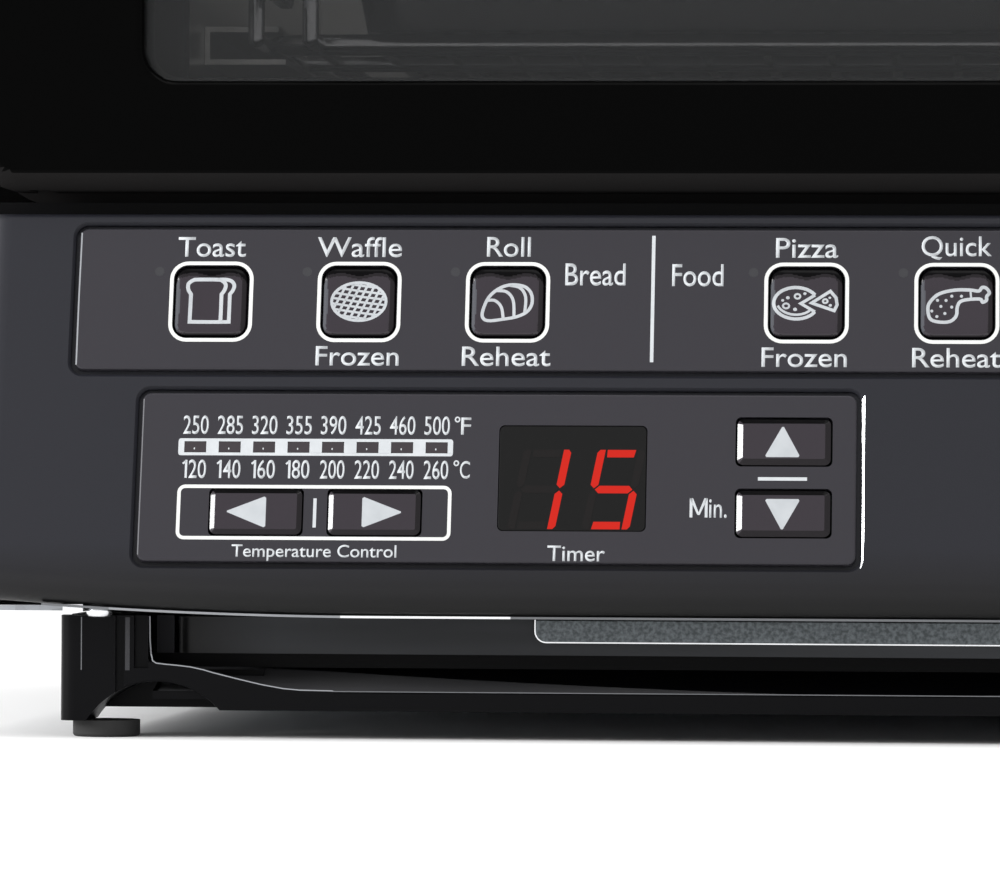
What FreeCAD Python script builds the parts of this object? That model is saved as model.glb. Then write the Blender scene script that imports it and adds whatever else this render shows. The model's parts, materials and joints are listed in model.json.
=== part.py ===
"""Countertop toaster oven with a drop-down glass door and a keypad fascia below the door.

Row frame, millimetres: +X to the right seen from the front, the front faces -Y, +Z up.
The origin is at the centre of the footprint, on the surface that the feet stand on.
Every function after the helpers returns one sub-part, and all_parts() names each sub-part.
"""

import FreeCAD, Part
import math
import os

from FreeCAD import Placement, Rotation, Vector

# ---- overall size
WIDTH = 330.0
DEPTH = 305.0
HEIGHT = 260.0
HALF_W = WIDTH / 2
FRONT_Y = -DEPTH / 2  # front of the handle
REAR_Y = DEPTH / 2  # back of the wall spacers
SHEET = 1.0  # gauge of every steel sheet

# ---- cabinet
SHELL_FRONT_Y = -109.0
SHELL_REAR_Y = 143.0
SHELL_CORNER_R = 14.0
SHELL_BOTTOM_Z = 22.0
FRAME_FACE_Y = SHELL_FRONT_Y + 1.0

# ---- base
BASE_HALF_W = 147.0
BASE_FRONT_Y = -130.0
BASE_REAR_Y = 136.0
BASE_WALL = 2.4
POST = 15.0
FOOT_R = 6.0
FOOT_H = 5.0
PAN_FLOOR_Z = 12.2
PAN_HALF_W = 143.5

# ---- cavity
CAVITY_HALF_W = 130.0
CAVITY_FRONT_Y = -102.0
CAVITY_REAR_Y = 132.0
CAVITY_TOP_Z = 238.0
CAVITY_BOTTOM_Z = 24.2

# ---- crumb tray
TRAY_HALF_W = 127.0
TRAY_FRONT_Y = -122.0
TRAY_REAR_Y = 126.0
TRAY_Z = 14.9
TRAY_WALL_TOP = 21.4
PULL_HALF_W = 62.8
PULL_BOTTOM_Z = 17.1

# ---- heaters
TUBE_R = 5.0
TUBE_BORE_R = 4.0
TUBE_HALF = 141.0
TUBE_Y = (-42.0, 48.0)
UPPER_TUBE_Z = 226.0
LOWER_TUBE_Z = 60.0

# ---- rack and its pan
RACK_Z = 127.0
RACK_WIRE_R = 2.0
RACK_ROD_R = 1.2
RACK_HALF_W = 116.0
RACK_FRONT_Y = -75.0
RACK_REAR_Y = 120.0
LOOP_X = 112.0
LOOP_Y = -90.0
LOOP_HALF_W = 5.0
LOOP_TOP_Z = 156.0
LOOP_WIRE_R = 1.5

# ---- door
DOOR_HALF_W = 163.0
DOOR_BOTTOM_Z = 97.5
DOOR_TOP_Z = 245.0
DOOR_FRONT_Y = -126.0
DOOR_BACK_Y = -113.0
SKIN = 3.0
WINDOW_HALF_W = 133.0
WINDOW_BOTTOM_Z = 117.0
WINDOW_TOP_Z = 214.0
HINGE_Y = -119.0
HINGE_Z = 103.0
PIN_R = 1.5
BRACKET_X = 152.0
HANDLE_HALF = 118.0
HANDLE_Z = 229.5

# ---- fascia, whose own axes are u along X, v up its sloping face and w out of it
LIP_Y = -142.6
LIP_Z = SHELL_BOTTOM_Z
LEAN = 15.5  # degrees that the face leans back
FACE_LENGTH = 74.0
FACE_WALL = 3.5
LIP_FLAT_HALF = 90.0  # the lip is straight to here, then sweeps up
LIP_SWEEP_R = 889.0
RECESS = 1.3
GROOVE = 0.8
PLATE_PROUD = 0.25

# ---- keys, as (u, v, width, height) on the fascia
PRESET_PITCH = 26.45
PRESET_FIRST_U = -120.45
PRESET_V = 57.6
PRESET_SIZE = 12.8
KEY_TRAVEL = 0.8
PRESET_NAMES = ("toast", "waffle", "roll", "pizza", "reheat", "potato")
PRESET_STEPS = (0, 1, 2, 4, 5, 6)
SMALL_KEYS = {
    "temperature_down": (-111.0, 18.92, 16.2, 8.2),
    "temperature_up": (-90.05, 18.92, 16.2, 8.2),
    "timer_up": (-18.3, 32.1, 16.4, 8.4),
    "timer_down": (-18.3, 19.1, 16.4, 8.4),
    "power": (108.0, 56.0, 42.0, 15.0),
    "start": (108.0, 25.0, 42.0, 20.0),
}
PLATES = {
    "preset": (-144.4, 60.9, 45.0, 71.2),
    "timer": (-131.9, -5.6, 9.9, 40.7),
    "start": (74.0, 142.0, 9.9, 71.2),
}
WINDOW = (-55.35, 25.3, 25.9, 19.1)  # timer window, centre u, v, width, height
LAMP_FIRST_U = -122.2  # temperature lamps
LAMP_PITCH = 6.114
LAMP_COUNT = 8
LAMP_V = 30.75
LAMP_SIZE = (3.9, 2.0)
PRESET_LAMP = (-9.4, 5.6)  # from each preset key's centre
BOARD_W = -12.5  # front of the control board
BOARD = (-138.0, 138.0, 8.6, 66.0)

FACE = Placement(Vector(0, LIP_Y, LIP_Z), Rotation(Vector(1, 0, 0), 90 - LEAN))
UPRIGHT = Rotation(Vector(1, 0, 0), 90)  # turns X, Y, Z into X, Z, -Y


# ---------------------------------------------------------------- helpers
def box(x, y, z):
    """A box from three (low, high) pairs."""
    size = [hi - lo for lo, hi in (x, y, z)]
    return Part.makeBox(*size, Vector(x[0], y[0], z[0]))


def rod(start, end, r):
    start, end = Vector(*start), Vector(*end)
    axis = end - start
    return Part.makeCylinder(r, axis.Length, start, axis)


def fuse(shapes):
    whole = shapes[0].fuse(list(shapes[1:])) if len(shapes) > 1 else shapes[0]
    return whole.removeSplitter()


def cut(shape, tools):
    return shape.cut(list(tools)).removeSplitter()


def rounded_wire(a, b, r):
    """A rounded rectangle in the XY plane, from (low, high) pairs a and b."""
    x0, x1, y0, y1 = a[0], a[1], b[0], b[1]
    k = r * (1 - math.sqrt(0.5))
    corners = (
        ((x0, y0 + r), (x0 + k, y0 + k), (x0 + r, y0)),
        ((x1 - r, y0), (x1 - k, y0 + k), (x1, y0 + r)),
        ((x1, y1 - r), (x1 - k, y1 - k), (x1 - r, y1)),
        ((x0 + r, y1), (x0 + k, y1 - k), (x0, y1 - r)),
    )
    edges = []
    for i, points in enumerate(corners):
        arc = [Vector(px, py, 0) for px, py in points]
        following = corners[(i + 1) % len(corners)][0]
        edges.append(Part.Arc(*arc).toShape())
        edges.append(Part.makeLine(arc[2], Vector(following[0], following[1], 0)))
    return Part.Wire(edges)


def slab(a, b, c, r):
    """A rounded rectangle in XY between the heights of pair c."""
    plate = Part.Face(rounded_wire(a, b, r)).extrude(Vector(0, 0, c[1] - c[0]))
    plate.translate(Vector(0, 0, c[0]))
    return plate


def upright(a, z, y, r):
    """A rounded rectangle in XZ between the depths of pair y."""
    plate = slab(a, z, (-y[1], -y[0]), r)
    plate.Placement = Placement(Vector(0, 0, 0), UPRIGHT).multiply(plate.Placement)
    return plate


def on_face(shape):
    """Carries a shape from the fascia's own axes to the row frame."""
    moved = shape.copy()
    moved.Placement = FACE.multiply(moved.Placement)
    return moved


def polygon(points, sweep):
    """A closed outline through 3-D points, extruded along a vector."""
    outline = [Vector(*p) for p in points]
    return Part.Face(Part.makePolygon(outline + outline[:1])).extrude(Vector(*sweep))


def round_edges(shape, r, picks):
    """Fillets the edges that picks accepts."""
    edges = [e for e in shape.Edges if picks(e)]
    return shape.makeFillet(r, edges)


def along(edge, axis):
    """True if a straight edge runs along a unit vector."""
    if not isinstance(edge.Curve, (Part.Line, Part.LineSegment)):
        return False
    return abs(abs(edge.tangentAt(edge.FirstParameter).dot(axis)) - 1) < 1e-6


def mirrored(shape):
    return shape.mirror(Vector(0, 0, 0), Vector(1, 0, 0))


def both_sides(shape):
    """The shape and its mirror image, as a group of separate solids."""
    return Part.makeCompound([shape, mirrored(shape)])


def compound(shapes):
    return Part.makeCompound(list(shapes))


# ---------------------------------------------------------------- cabinet
def outer_shell():
    """One sheet folded over the top and down both sides, louvred low on each side."""
    y = (SHELL_FRONT_Y, SHELL_REAR_Y)
    below = SHELL_BOTTOM_Z - 40
    outer = upright((-HALF_W, HALF_W), (below, HEIGHT), y, SHELL_CORNER_R)
    inner = upright(
        (-HALF_W + SHEET, HALF_W - SHEET),
        (below + SHEET, HEIGHT - SHEET),
        (y[0] - 1, y[1] + 1),
        SHELL_CORNER_R - SHEET,
    )
    keep = box((-HALF_W, HALF_W), y, (SHELL_BOTTOM_Z, HEIGHT))
    shell = outer.cut(inner).common(keep)
    slots = []
    for row_z in (44.0, 74.0):
        for i in range(8):
            slot = slab((row_z, row_z + 22), (i * 13.0, i * 13.0 + 4), (-1, 1), 1.9)
            slot.rotate(Vector(0, 0, 0), Vector(0, 1, 0), -90)
            for side in (-HALF_W + SHEET / 2, HALF_W - SHEET / 2):
                one = slot.copy()
                one.translate(Vector(side, 12.0, 0))
                slots.append(one)
    return cut(shell, slots)


def rear_panel():
    """Flat back sheet with cooling slots and the cable hole."""
    y = (SHELL_REAR_Y - 1.6, SHELL_REAR_Y - 0.6)
    half = HALF_W - SHEET - 0.2
    panel = upright((-half, half), (SHELL_BOTTOM_Z + 1.2, HEIGHT - SHEET - 0.2), y, SHELL_CORNER_R - SHEET)
    cutters = [rod((CORD_X, y[0] - 1, CORD_Z), (CORD_X, y[1] + 1, CORD_Z), CORD_SEAT_R + 0.05)]
    for row_z in (90.0, 128.0, 166.0):
        for i in range(14):
            x = -98.0 + i * 15.0
            cutters.append(upright((x, x + 4), (row_z, row_z + 26), (y[0] - 1, y[1] + 1), 1.9))
    for x, z in REAR_SCREWS:
        cutters.append(rod((x, y[0] - 1, z), (x, y[1] + 1, z), 1.8))
    return cut(panel, cutters)


CORD_X = -118.0
CORD_Z = 46.0
CORD_SEAT_R = 6.5
CORD_R = 3.8
REAR_SCREWS = ((-154, 36), (154, 36), (-154, 140), (154, 140), (-120, 250), (120, 250))


def cord_bush():
    """Flanged bush that lines the cable hole."""
    seat = SHELL_REAR_Y - 1.6
    body = rod((CORD_X, seat - 6.4, CORD_Z), (CORD_X, seat + 1.4, CORD_Z), CORD_SEAT_R)
    flange = rod((CORD_X, seat + 1.1, CORD_Z), (CORD_X, seat + 5.6, CORD_Z), CORD_SEAT_R + 2.5)
    flange = round_edges(flange, 1.2, lambda e: e.CenterOfMass.y > seat + 5.5)
    bore = rod((CORD_X, seat - 8, CORD_Z), (CORD_X, seat + 8, CORD_Z), CORD_R)
    return cut(fuse([body, flange]), [bore])


def rear_spacers():
    """Two moulded stand-offs that keep the back clear of a wall."""
    spacer = upright((102, 120), (196, 226), (SHELL_REAR_Y - 0.5, REAR_Y), 5.0)
    spacer = round_edges(spacer, 2.0, lambda e: e.CenterOfMass.y > REAR_Y - 0.1)
    return both_sides(spacer)


def front_frame():
    """Painted mask behind the door, with the mouth of the cavity cut in it."""
    half = HALF_W - SHEET - 0.2
    y = (FRAME_FACE_Y, FRAME_FACE_Y + SHEET)
    plate = upright((-half, half), (95.4, HEIGHT - SHEET - 0.2), y, SHELL_CORNER_R - SHEET)
    mouth = upright((-128, 128), (104, 234), (y[0] - 1, y[1] + 1), 8.0)
    lip = upright((-128.8, 128.8), (103.2, 234.8), (y[1] - 0.1, y[1] + 6), 8.8)
    lip = lip.cut(upright((-128, 128), (104, 234), (y[1] - 1, y[1] + 7), 8.0))
    return fuse([plate.cut(mouth), lip])


def base_pan():
    """Pressed floor of the cabinet, dropped in the middle to carry the crumb tray."""
    y = (-108.5, 133.0)
    rim_y = (SHELL_FRONT_Y + 0.3, SHELL_REAR_Y - 1.8)
    floor = box((-PAN_HALF_W, PAN_HALF_W), y, (PAN_FLOOR_Z, PAN_FLOOR_Z + SHEET))
    pieces = [floor]
    for side in (-1, 1):
        wall = sorted((side * PAN_HALF_W, side * (PAN_HALF_W - SHEET)))
        rim = sorted((side * PAN_HALF_W, side * (HALF_W - SHEET - 0.2)))
        rail = sorted((side * 118, side * 124))
        pieces.append(box(wall, y, (PAN_FLOOR_Z, 23.0)))
        pieces.append(box(rim, rim_y, (22.0, 23.0)))
        pieces.append(box(rail, y, (PAN_FLOOR_Z + SHEET, TRAY_Z - 0.25)))
    pieces.append(box((-PAN_HALF_W, PAN_HALF_W), (y[1] - SHEET, y[1]), (PAN_FLOOR_Z, 23.0)))
    rear_half = HALF_W - SHEET - 0.2
    pieces.append(box((-rear_half, rear_half), (y[1] - SHEET, rim_y[1]), (22.0, 23.0)))
    slots = []
    for row_y in (-60.0, 0.0, 60.0):
        for i in range(9):
            x = -98.0 + i * 24
            slots.append(slab((x, x + 4), (row_y, row_y + 34), (PAN_FLOOR_Z - 1, PAN_FLOOR_Z + 2), 1.9))
    return cut(fuse(pieces), slots)


def base_front():
    """Moulded front sill: two corner posts joined by a low bar under the crumb tray."""
    y = (BASE_FRONT_Y, BASE_FRONT_Y + BASE_WALL)
    top, post_bottom, bar_bottom = SHELL_BOTTOM_Z - 0.3, 3.0, 5.0
    mouth, shoulder, bar_top = 131.2, 13.9, 8.5
    outline = [
        (-BASE_HALF_W, y[0], top),
        (-mouth, y[0], top),
        (-mouth, y[0], shoulder),
        (-mouth + 23, y[0], bar_top),
        (mouth - 23, y[0], bar_top),
        (mouth, y[0], shoulder),
        (mouth, y[0], top),
        (BASE_HALF_W, y[0], top),
        (BASE_HALF_W, y[0], post_bottom),
        (BASE_HALF_W - POST, y[0], post_bottom),
        (BASE_HALF_W - POST, y[0], bar_bottom),
        (-BASE_HALF_W + POST, y[0], bar_bottom),
        (-BASE_HALF_W + POST, y[0], post_bottom),
        (-BASE_HALF_W, y[0], post_bottom),
    ]
    wall = polygon(outline, (0, BASE_WALL, 0))
    pieces, grooves = [wall], []
    for side in (-1, 1):
        post_x = sorted((side * BASE_HALF_W, side * (BASE_HALF_W - POST)))
        post = box(post_x, (y[0], y[0] + POST), (post_bottom, 11.8))
        upper = box(post_x, (y[0], y[0] + 6), (11.0, top))
        pieces += [post, upper]
        arch_x = side * 129.5
        grooves.append(rod((arch_x, y[0] - 1, -5.0), (arch_x, y[1] + POST + 1, -5.0), 15.0))
        groove = sorted((side * 136.9, side * 135.4))
        grooves.append(box(groove, (y[0] - 1, y[0] + 0.9), (2, 23)))
        step = sorted((side * 133.6, side * 131.0))
        grooves.append(box(step, (y[0] - 1, y[0] + 1.2), (12.4, 23)))
    sill = cut(fuse(pieces), grooves)
    half = BASE_HALF_W - POST - 1.5
    apron = [(-half, y[1] - 0.2, 8.3), (-half, -109.2, 12.0), (-half, -109.2, 10.6), (-half, y[1] - 0.2, 6.9)]
    backing = [box(sorted((side * 112, side * 146)), (y[0] + POST - 1.4, y[0] + POST), (5.0, 11.8)) for side in (-1, 1)]
    sill = fuse([sill, polygon(apron, (2 * half, 0, 0)), *backing])

    def outer_corner(edge):
        centre = edge.CenterOfMass
        outside = abs(abs(centre.x) - BASE_HALF_W) < 1e-3 and abs(centre.y - y[0]) < 1e-3
        return outside and along(edge, Vector(0, 0, 1))

    sill = round_edges(sill, 2.8, outer_corner)

    def mouth_edge(edge):
        centre = edge.CenterOfMass
        front = abs(centre.y - y[0]) < 1e-3
        return front and abs(centre.x) < 129 and 8 < centre.z < 14

    return round_edges(sill, 0.5, mouth_edge)


def base_skirt():
    """Sides and back of the base, with a post in each rear corner."""
    y0, y1 = BASE_FRONT_Y + POST + 0.2, BASE_REAR_Y
    z = (5.0, 21.6)
    pieces = [box((-BASE_HALF_W, BASE_HALF_W), (y1 - BASE_WALL, y1), z)]
    for side in (-1, 1):
        wall = sorted((side * BASE_HALF_W, side * (BASE_HALF_W - BASE_WALL)))
        pieces.append(box(wall, (y0, y1), z))
        post = sorted((side * BASE_HALF_W, side * (BASE_HALF_W - POST)))
        pieces.append(box(post, (y1 - POST, y1), (3.0, 11.8)))
    skirt = fuse(pieces)

    def rear_corner(edge):
        centre = edge.CenterOfMass
        outside = abs(abs(centre.x) - BASE_HALF_W) < 1e-3 and abs(centre.y - y1) < 1e-3
        return outside and along(edge, Vector(0, 0, 1))

    return round_edges(skirt, 2.2, rear_corner)


def rubber_feet():
    """Four pads pressed into the posts."""
    feet = []
    for x in (-1, 1):
        for y in (BASE_FRONT_Y + POST / 2, BASE_REAR_Y - POST / 2):
            at = Vector(x * (BASE_HALF_W - POST / 2), y, 0)
            foot = Part.makeCylinder(FOOT_R, 2.95, at)
            feet.append(round_edges(foot, 0.6, lambda e: e.CenterOfMass.z < 0.1))
    return compound(feet)


# ---------------------------------------------------------------- oven cavity
def tube_holes(r):
    reach = CAVITY_HALF_W + 20
    return [
        rod((-reach, y, z), (reach, y, z), r) for y in TUBE_Y for z in (UPPER_TUBE_Z, LOWER_TUBE_Z)
    ]


def cavity_wrap():
    """Reflective liner: both side walls and a ridged ceiling in one sheet."""
    y = (CAVITY_FRONT_Y - 4.9, CAVITY_REAR_Y - SHEET - 0.1)
    half = CAVITY_HALF_W
    inside = half - SHEET
    top = CAVITY_TOP_Z
    section = [
        (-half - 20, CAVITY_BOTTOM_Z - SHEET),
        (-inside, CAVITY_BOTTOM_Z - SHEET),
        (-inside, top - 8),
        (-inside + 7, top - SHEET),
        (inside - 7, top - SHEET),
        (inside, top - 8),
        (inside, CAVITY_BOTTOM_Z - SHEET),
        (half + 20, CAVITY_BOTTOM_Z - SHEET),
        (half + 20, CAVITY_BOTTOM_Z),
        (half, CAVITY_BOTTOM_Z),
        (half, top - 7.6),
        (half - 7.6, top),
        (-half + 7.6, top),
        (-half, top - 7.6),
        (-half, CAVITY_BOTTOM_Z),
        (-half - 20, CAVITY_BOTTOM_Z),
    ]
    sheet = polygon([(x, y[0], z) for x, z in section], (0, y[1] - y[0], 0))
    ridges = [
        box((-105, 105), (ridge_y - 3, ridge_y + 3), (top - 0.2, top + 2.0)) for ridge_y in TUBE_Y
    ]
    valleys = [
        box((-104, 104), (ridge_y - 2, ridge_y + 2), (top - 2, top + 1.2)) for ridge_y in TUBE_Y
    ]
    probe = rod((inside - 2, 100, 186), (half + 4, 100, 186), 2.6)
    return cut(fuse([sheet, *ridges]), valleys + tube_holes(TUBE_R + 1.0) + [probe])


def cavity_back():
    """Back wall of the cavity, with a shallow pressed panel for stiffness."""
    y = (CAVITY_REAR_Y - SHEET, CAVITY_REAR_Y)
    inside = CAVITY_HALF_W
    plate = upright((-inside, inside), (24.4, CAVITY_TOP_Z), y, 2.0)
    boss = upright((-90, 90), (80, 200), (y[1] - 0.1, y[1] + 2), 12.0)
    dent = upright((-89, 89), (81, 199), (y[0] - 1, y[1] + 1), 11.0)
    return cut(fuse([plate, boss]), [dent])


def cavity_front_wall():
    """Insulating wall between the hot cavity and the keypad, with a shelf below the door."""
    y = (CAVITY_FRONT_Y, CAVITY_FRONT_Y + SHEET)
    half = CAVITY_HALF_W - SHEET - 0.3
    wall = box((-half, half), y, (22.6, 95.2))
    shelf = box((-half, half), (FRAME_FACE_Y + 0.2, y[1]), (94.2, 95.2))
    foot = box((-half, half), (y[0] - 5, y[1]), (22.6, 23.6))
    return fuse([wall, shelf, foot])


def rack_rails():
    """A channel on each side wall that carries the edge of the rack."""
    y = (-72.0, 126.0)
    x = (113.6, CAVITY_HALF_W - SHEET - 0.1)
    channel = box(x, y, (123.6, 124.6))
    web = box((x[1] - SHEET, x[1]), y, (123.6, 130.7))
    keeper = box((115.0, x[1]), y, (129.7, 130.7))
    return both_sides(fuse([channel, web, keeper]))


def heater_tube(y, z):
    """A quartz tube, open at both ends for its filament leads."""
    outer = rod((-TUBE_HALF, y, z), (TUBE_HALF, y, z), TUBE_R)
    bore = rod((-TUBE_HALF - 1, y, z), (TUBE_HALF + 1, y, z), TUBE_BORE_R)
    return outer.cut(bore)


def heater_filaments():
    """The wound core of each tube, with a straight lead at each end."""
    cores = []
    for y in TUBE_Y:
        for z in (UPPER_TUBE_Z, LOWER_TUBE_Z):
            core = rod((-128, y, z), (128, y, z), 2.2)
            lead = rod((-TUBE_HALF - 1, y, z), (TUBE_HALF + 1, y, z), 0.7)
            cores.append(fuse([core, lead]))
    return compound(cores)


def heater_end_caps():
    """Ceramic holders outside the cavity walls, two for each tube."""
    caps = []
    for y in TUBE_Y:
        for z in (UPPER_TUBE_Z, LOWER_TUBE_Z):
            block = box((CAVITY_HALF_W + 0.3, 149), (y - 8, y + 8), (z - 8, z + 8))
            block = round_edges(block, 1.5, lambda e: along(e, Vector(1, 0, 0)))
            seat = rod((CAVITY_HALF_W - 1, y, z), (TUBE_HALF + 1.5, y, z), TUBE_R + 0.05)
            lead = rod((TUBE_HALF, y, z), (151, y, z), 0.9)
            cap = block.cut([seat, lead])
            caps += [cap, mirrored(cap)]
    return compound(caps)


def heater_guard(z, across_z):
    """Wires that keep food off the tubes, welded to two cross wires."""
    wires = []
    for x in (-84, -28, 28, 84):
        wires.append(rod((x, CAVITY_FRONT_Y + 3, z), (x, CAVITY_REAR_Y - 1.4, z), 1.25))
    for y in (-72, 84):
        wires.append(rod((-CAVITY_HALF_W + 1.5, y, across_z), (CAVITY_HALF_W - 1.5, y, across_z), 1.25))
    return fuse(wires)


def temperature_sensor():
    """Probe of the thermostat, through the right wall of the cavity."""
    probe = rod((104, 100, 186), (CAVITY_HALF_W + 0.4, 100, 186), 2.0)
    flange = rod((CAVITY_HALF_W + 0.3, 100, 186), (CAVITY_HALF_W + 3, 100, 186), 5.5)
    stem = rod((CAVITY_HALF_W + 2, 100, 186), (CAVITY_HALF_W + 14, 100, 186), 2.6)
    return fuse([probe, flange, stem])


def thermal_cutoff():
    """Button thermostat clamped to the top of the cavity."""
    at = Vector(86, 92, CAVITY_TOP_Z + 0.2)
    can = Part.makeCylinder(8, 5, at)
    cap = Part.makeCylinder(6.5, 9, at)
    blades = box((83.5, 88.5), (88, 96), (CAVITY_TOP_Z + 9, CAVITY_TOP_Z + 14))
    return fuse([can, cap, blades])


# ---------------------------------------------------------------- rack and trays
def wire_rack():
    """Welded rack with an upright loop at each front corner for the door's hooks."""
    r = 9.0
    frame_path = rounded_wire((-RACK_HALF_W, RACK_HALF_W), (RACK_FRONT_Y, RACK_REAR_Y), r)
    frame_path.translate(Vector(0, 0, RACK_Z))
    line = frame_path.OrderedEdges[1]
    start = line.valueAt(line.FirstParameter)
    path = Part.Wire(Part.__sortEdges__(frame_path.OrderedEdges[1:] + frame_path.OrderedEdges[:1]))
    section = Part.Wire(Part.makeCircle(RACK_WIRE_R, start, line.tangentAt(line.FirstParameter)))
    frame = path.makePipeShell([section], True, False)
    pieces = [frame]
    count = 19
    spacing = 2 * (RACK_HALF_W - 8) / (count - 1)
    for i in range(count):
        x = -RACK_HALF_W + 8 + i * spacing
        pieces.append(rod((x, RACK_FRONT_Y, RACK_Z), (x, RACK_REAR_Y, RACK_Z), RACK_ROD_R))
    for y in (-32.0, 78.0):
        pieces.append(rod((-RACK_HALF_W, y, RACK_Z - 0.6), (RACK_HALF_W, y, RACK_Z - 0.6), 1.5))
    for side in (-1, 1):
        for x in (LOOP_X - LOOP_HALF_W, LOOP_X + LOOP_HALF_W):
            foot_end = (side * x, LOOP_Y, RACK_Z)
            top_end = (side * x, LOOP_Y, LOOP_TOP_Z)
            start_y = RACK_FRONT_Y + (4.0 if x > LOOP_X else 0.0)
            pieces.append(rod((side * x, start_y, RACK_Z), foot_end, LOOP_WIRE_R))
            pieces.append(rod(foot_end, top_end, LOOP_WIRE_R))
            pieces.append(Part.makeSphere(LOOP_WIRE_R, Vector(*foot_end)))
            pieces.append(Part.makeSphere(LOOP_WIRE_R, Vector(*top_end)))
        left, right = side * (LOOP_X - LOOP_HALF_W), side * (LOOP_X + LOOP_HALF_W)
        pieces.append(rod((left, LOOP_Y, LOOP_TOP_Z), (right, LOOP_Y, LOOP_TOP_Z), LOOP_WIRE_R))
    return fuse(pieces)


def pan(half_w, y, z, wall_top, r, flare):
    """A sheet pan with sloping walls and a flat rolled rim."""
    gauge = 0.8
    outer_low = rounded_wire((-half_w, half_w), y, r)
    outer_low.translate(Vector(0, 0, z))
    grown = rounded_wire((-half_w - flare, half_w + flare), (y[0] - flare, y[1] + flare), r + flare)
    grown.translate(Vector(0, 0, wall_top))
    outer = Part.makeLoft([outer_low, grown], True, True)
    inner_low = rounded_wire((-half_w + gauge, half_w - gauge), (y[0] + gauge, y[1] - gauge), r - gauge)
    inner_low.translate(Vector(0, 0, z + gauge))
    high = flare - gauge
    inner_top = rounded_wire((-half_w - high, half_w + high), (y[0] - high, y[1] + high), r + high)
    inner_top.translate(Vector(0, 0, wall_top + 0.01))
    return outer, Part.makeLoft([inner_low, inner_top], True, True)


def baking_tray():
    """Square enamelled pan that rests on the rack."""
    z = RACK_Z + RACK_WIRE_R + 0.3
    half, y, top, rim = 98.0, (-84.0, 112.0), z + 15.0, 4.0
    outer, inner = pan(half, y, z, top, 10.0, 3.0)
    brim = slab((-half - 3 - rim, half + 3 + rim), (y[0] - 3 - rim, y[1] + 3 + rim), (top - 1.0, top), 16.0)
    hole = slab((-half - 2.4, half + 2.4), (y[0] - 2.4, y[1] + 2.4), (top - 2, top + 1), 12.4)
    body = outer.cut(inner)
    return fuse([body, brim.cut(hole)])


def crumb_tray():
    """Shallow drawer that forms the floor of the oven."""
    y = (TRAY_FRONT_Y, TRAY_REAR_Y)
    gauge = 0.8
    tray = slab((-TRAY_HALF_W, TRAY_HALF_W), y, (TRAY_Z, TRAY_WALL_TOP), 3.0)
    inside = slab(
        (-TRAY_HALF_W + gauge, TRAY_HALF_W - gauge),
        (y[0] + gauge, y[1] - gauge),
        (TRAY_Z + gauge, TRAY_WALL_TOP + 1),
        2.2,
    )
    bead = slab((-118, 118), (y[0] + 9, y[1] - 9), (TRAY_Z + gauge - 0.1, TRAY_Z + gauge + 0.6), 8.0)
    flat = slab((-115, 115), (y[0] + 12, y[1] - 12), (TRAY_Z + gauge - 0.2, TRAY_Z + 3), 6.0)
    return fuse([tray.cut(inside), bead.cut(flat)])


def crumb_tray_pull():
    """Bright steel tab on the front of the crumb tray."""
    y = (TRAY_FRONT_Y - 1.9, TRAY_FRONT_Y - 0.9)
    tab = upright((-PULL_HALF_W, PULL_HALF_W), (PULL_BOTTOM_Z, 26.0), y, 2.0)
    tab = tab.common(box((-80, 80), (y[0] - 1, y[1] + 1), (10, TRAY_WALL_TOP)))
    fold = box((-PULL_HALF_W, PULL_HALF_W), (y[0], TRAY_FRONT_Y - 0.1), (TRAY_WALL_TOP - 0.9, TRAY_WALL_TOP))
    tab = fuse([tab, fold])

    def front_rim(edge):
        centre = edge.CenterOfMass
        return abs(centre.y - y[0]) < 1e-3

    return round_edges(tab, 0.35, front_rim)


# ---------------------------------------------------------------- door
def bracket_slots(margin=0.0):
    """Room in the door for the two hinge brackets."""
    slots = []
    for side in (-1, 1):
        x = sorted((side * (BRACKET_X - 1.8 - margin), side * (BRACKET_X + 1.8 + margin)))
        slots.append(box(x, (DOOR_FRONT_Y + SKIN, DOOR_BACK_Y + 2), (90, 111.5)))
    return slots


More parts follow.
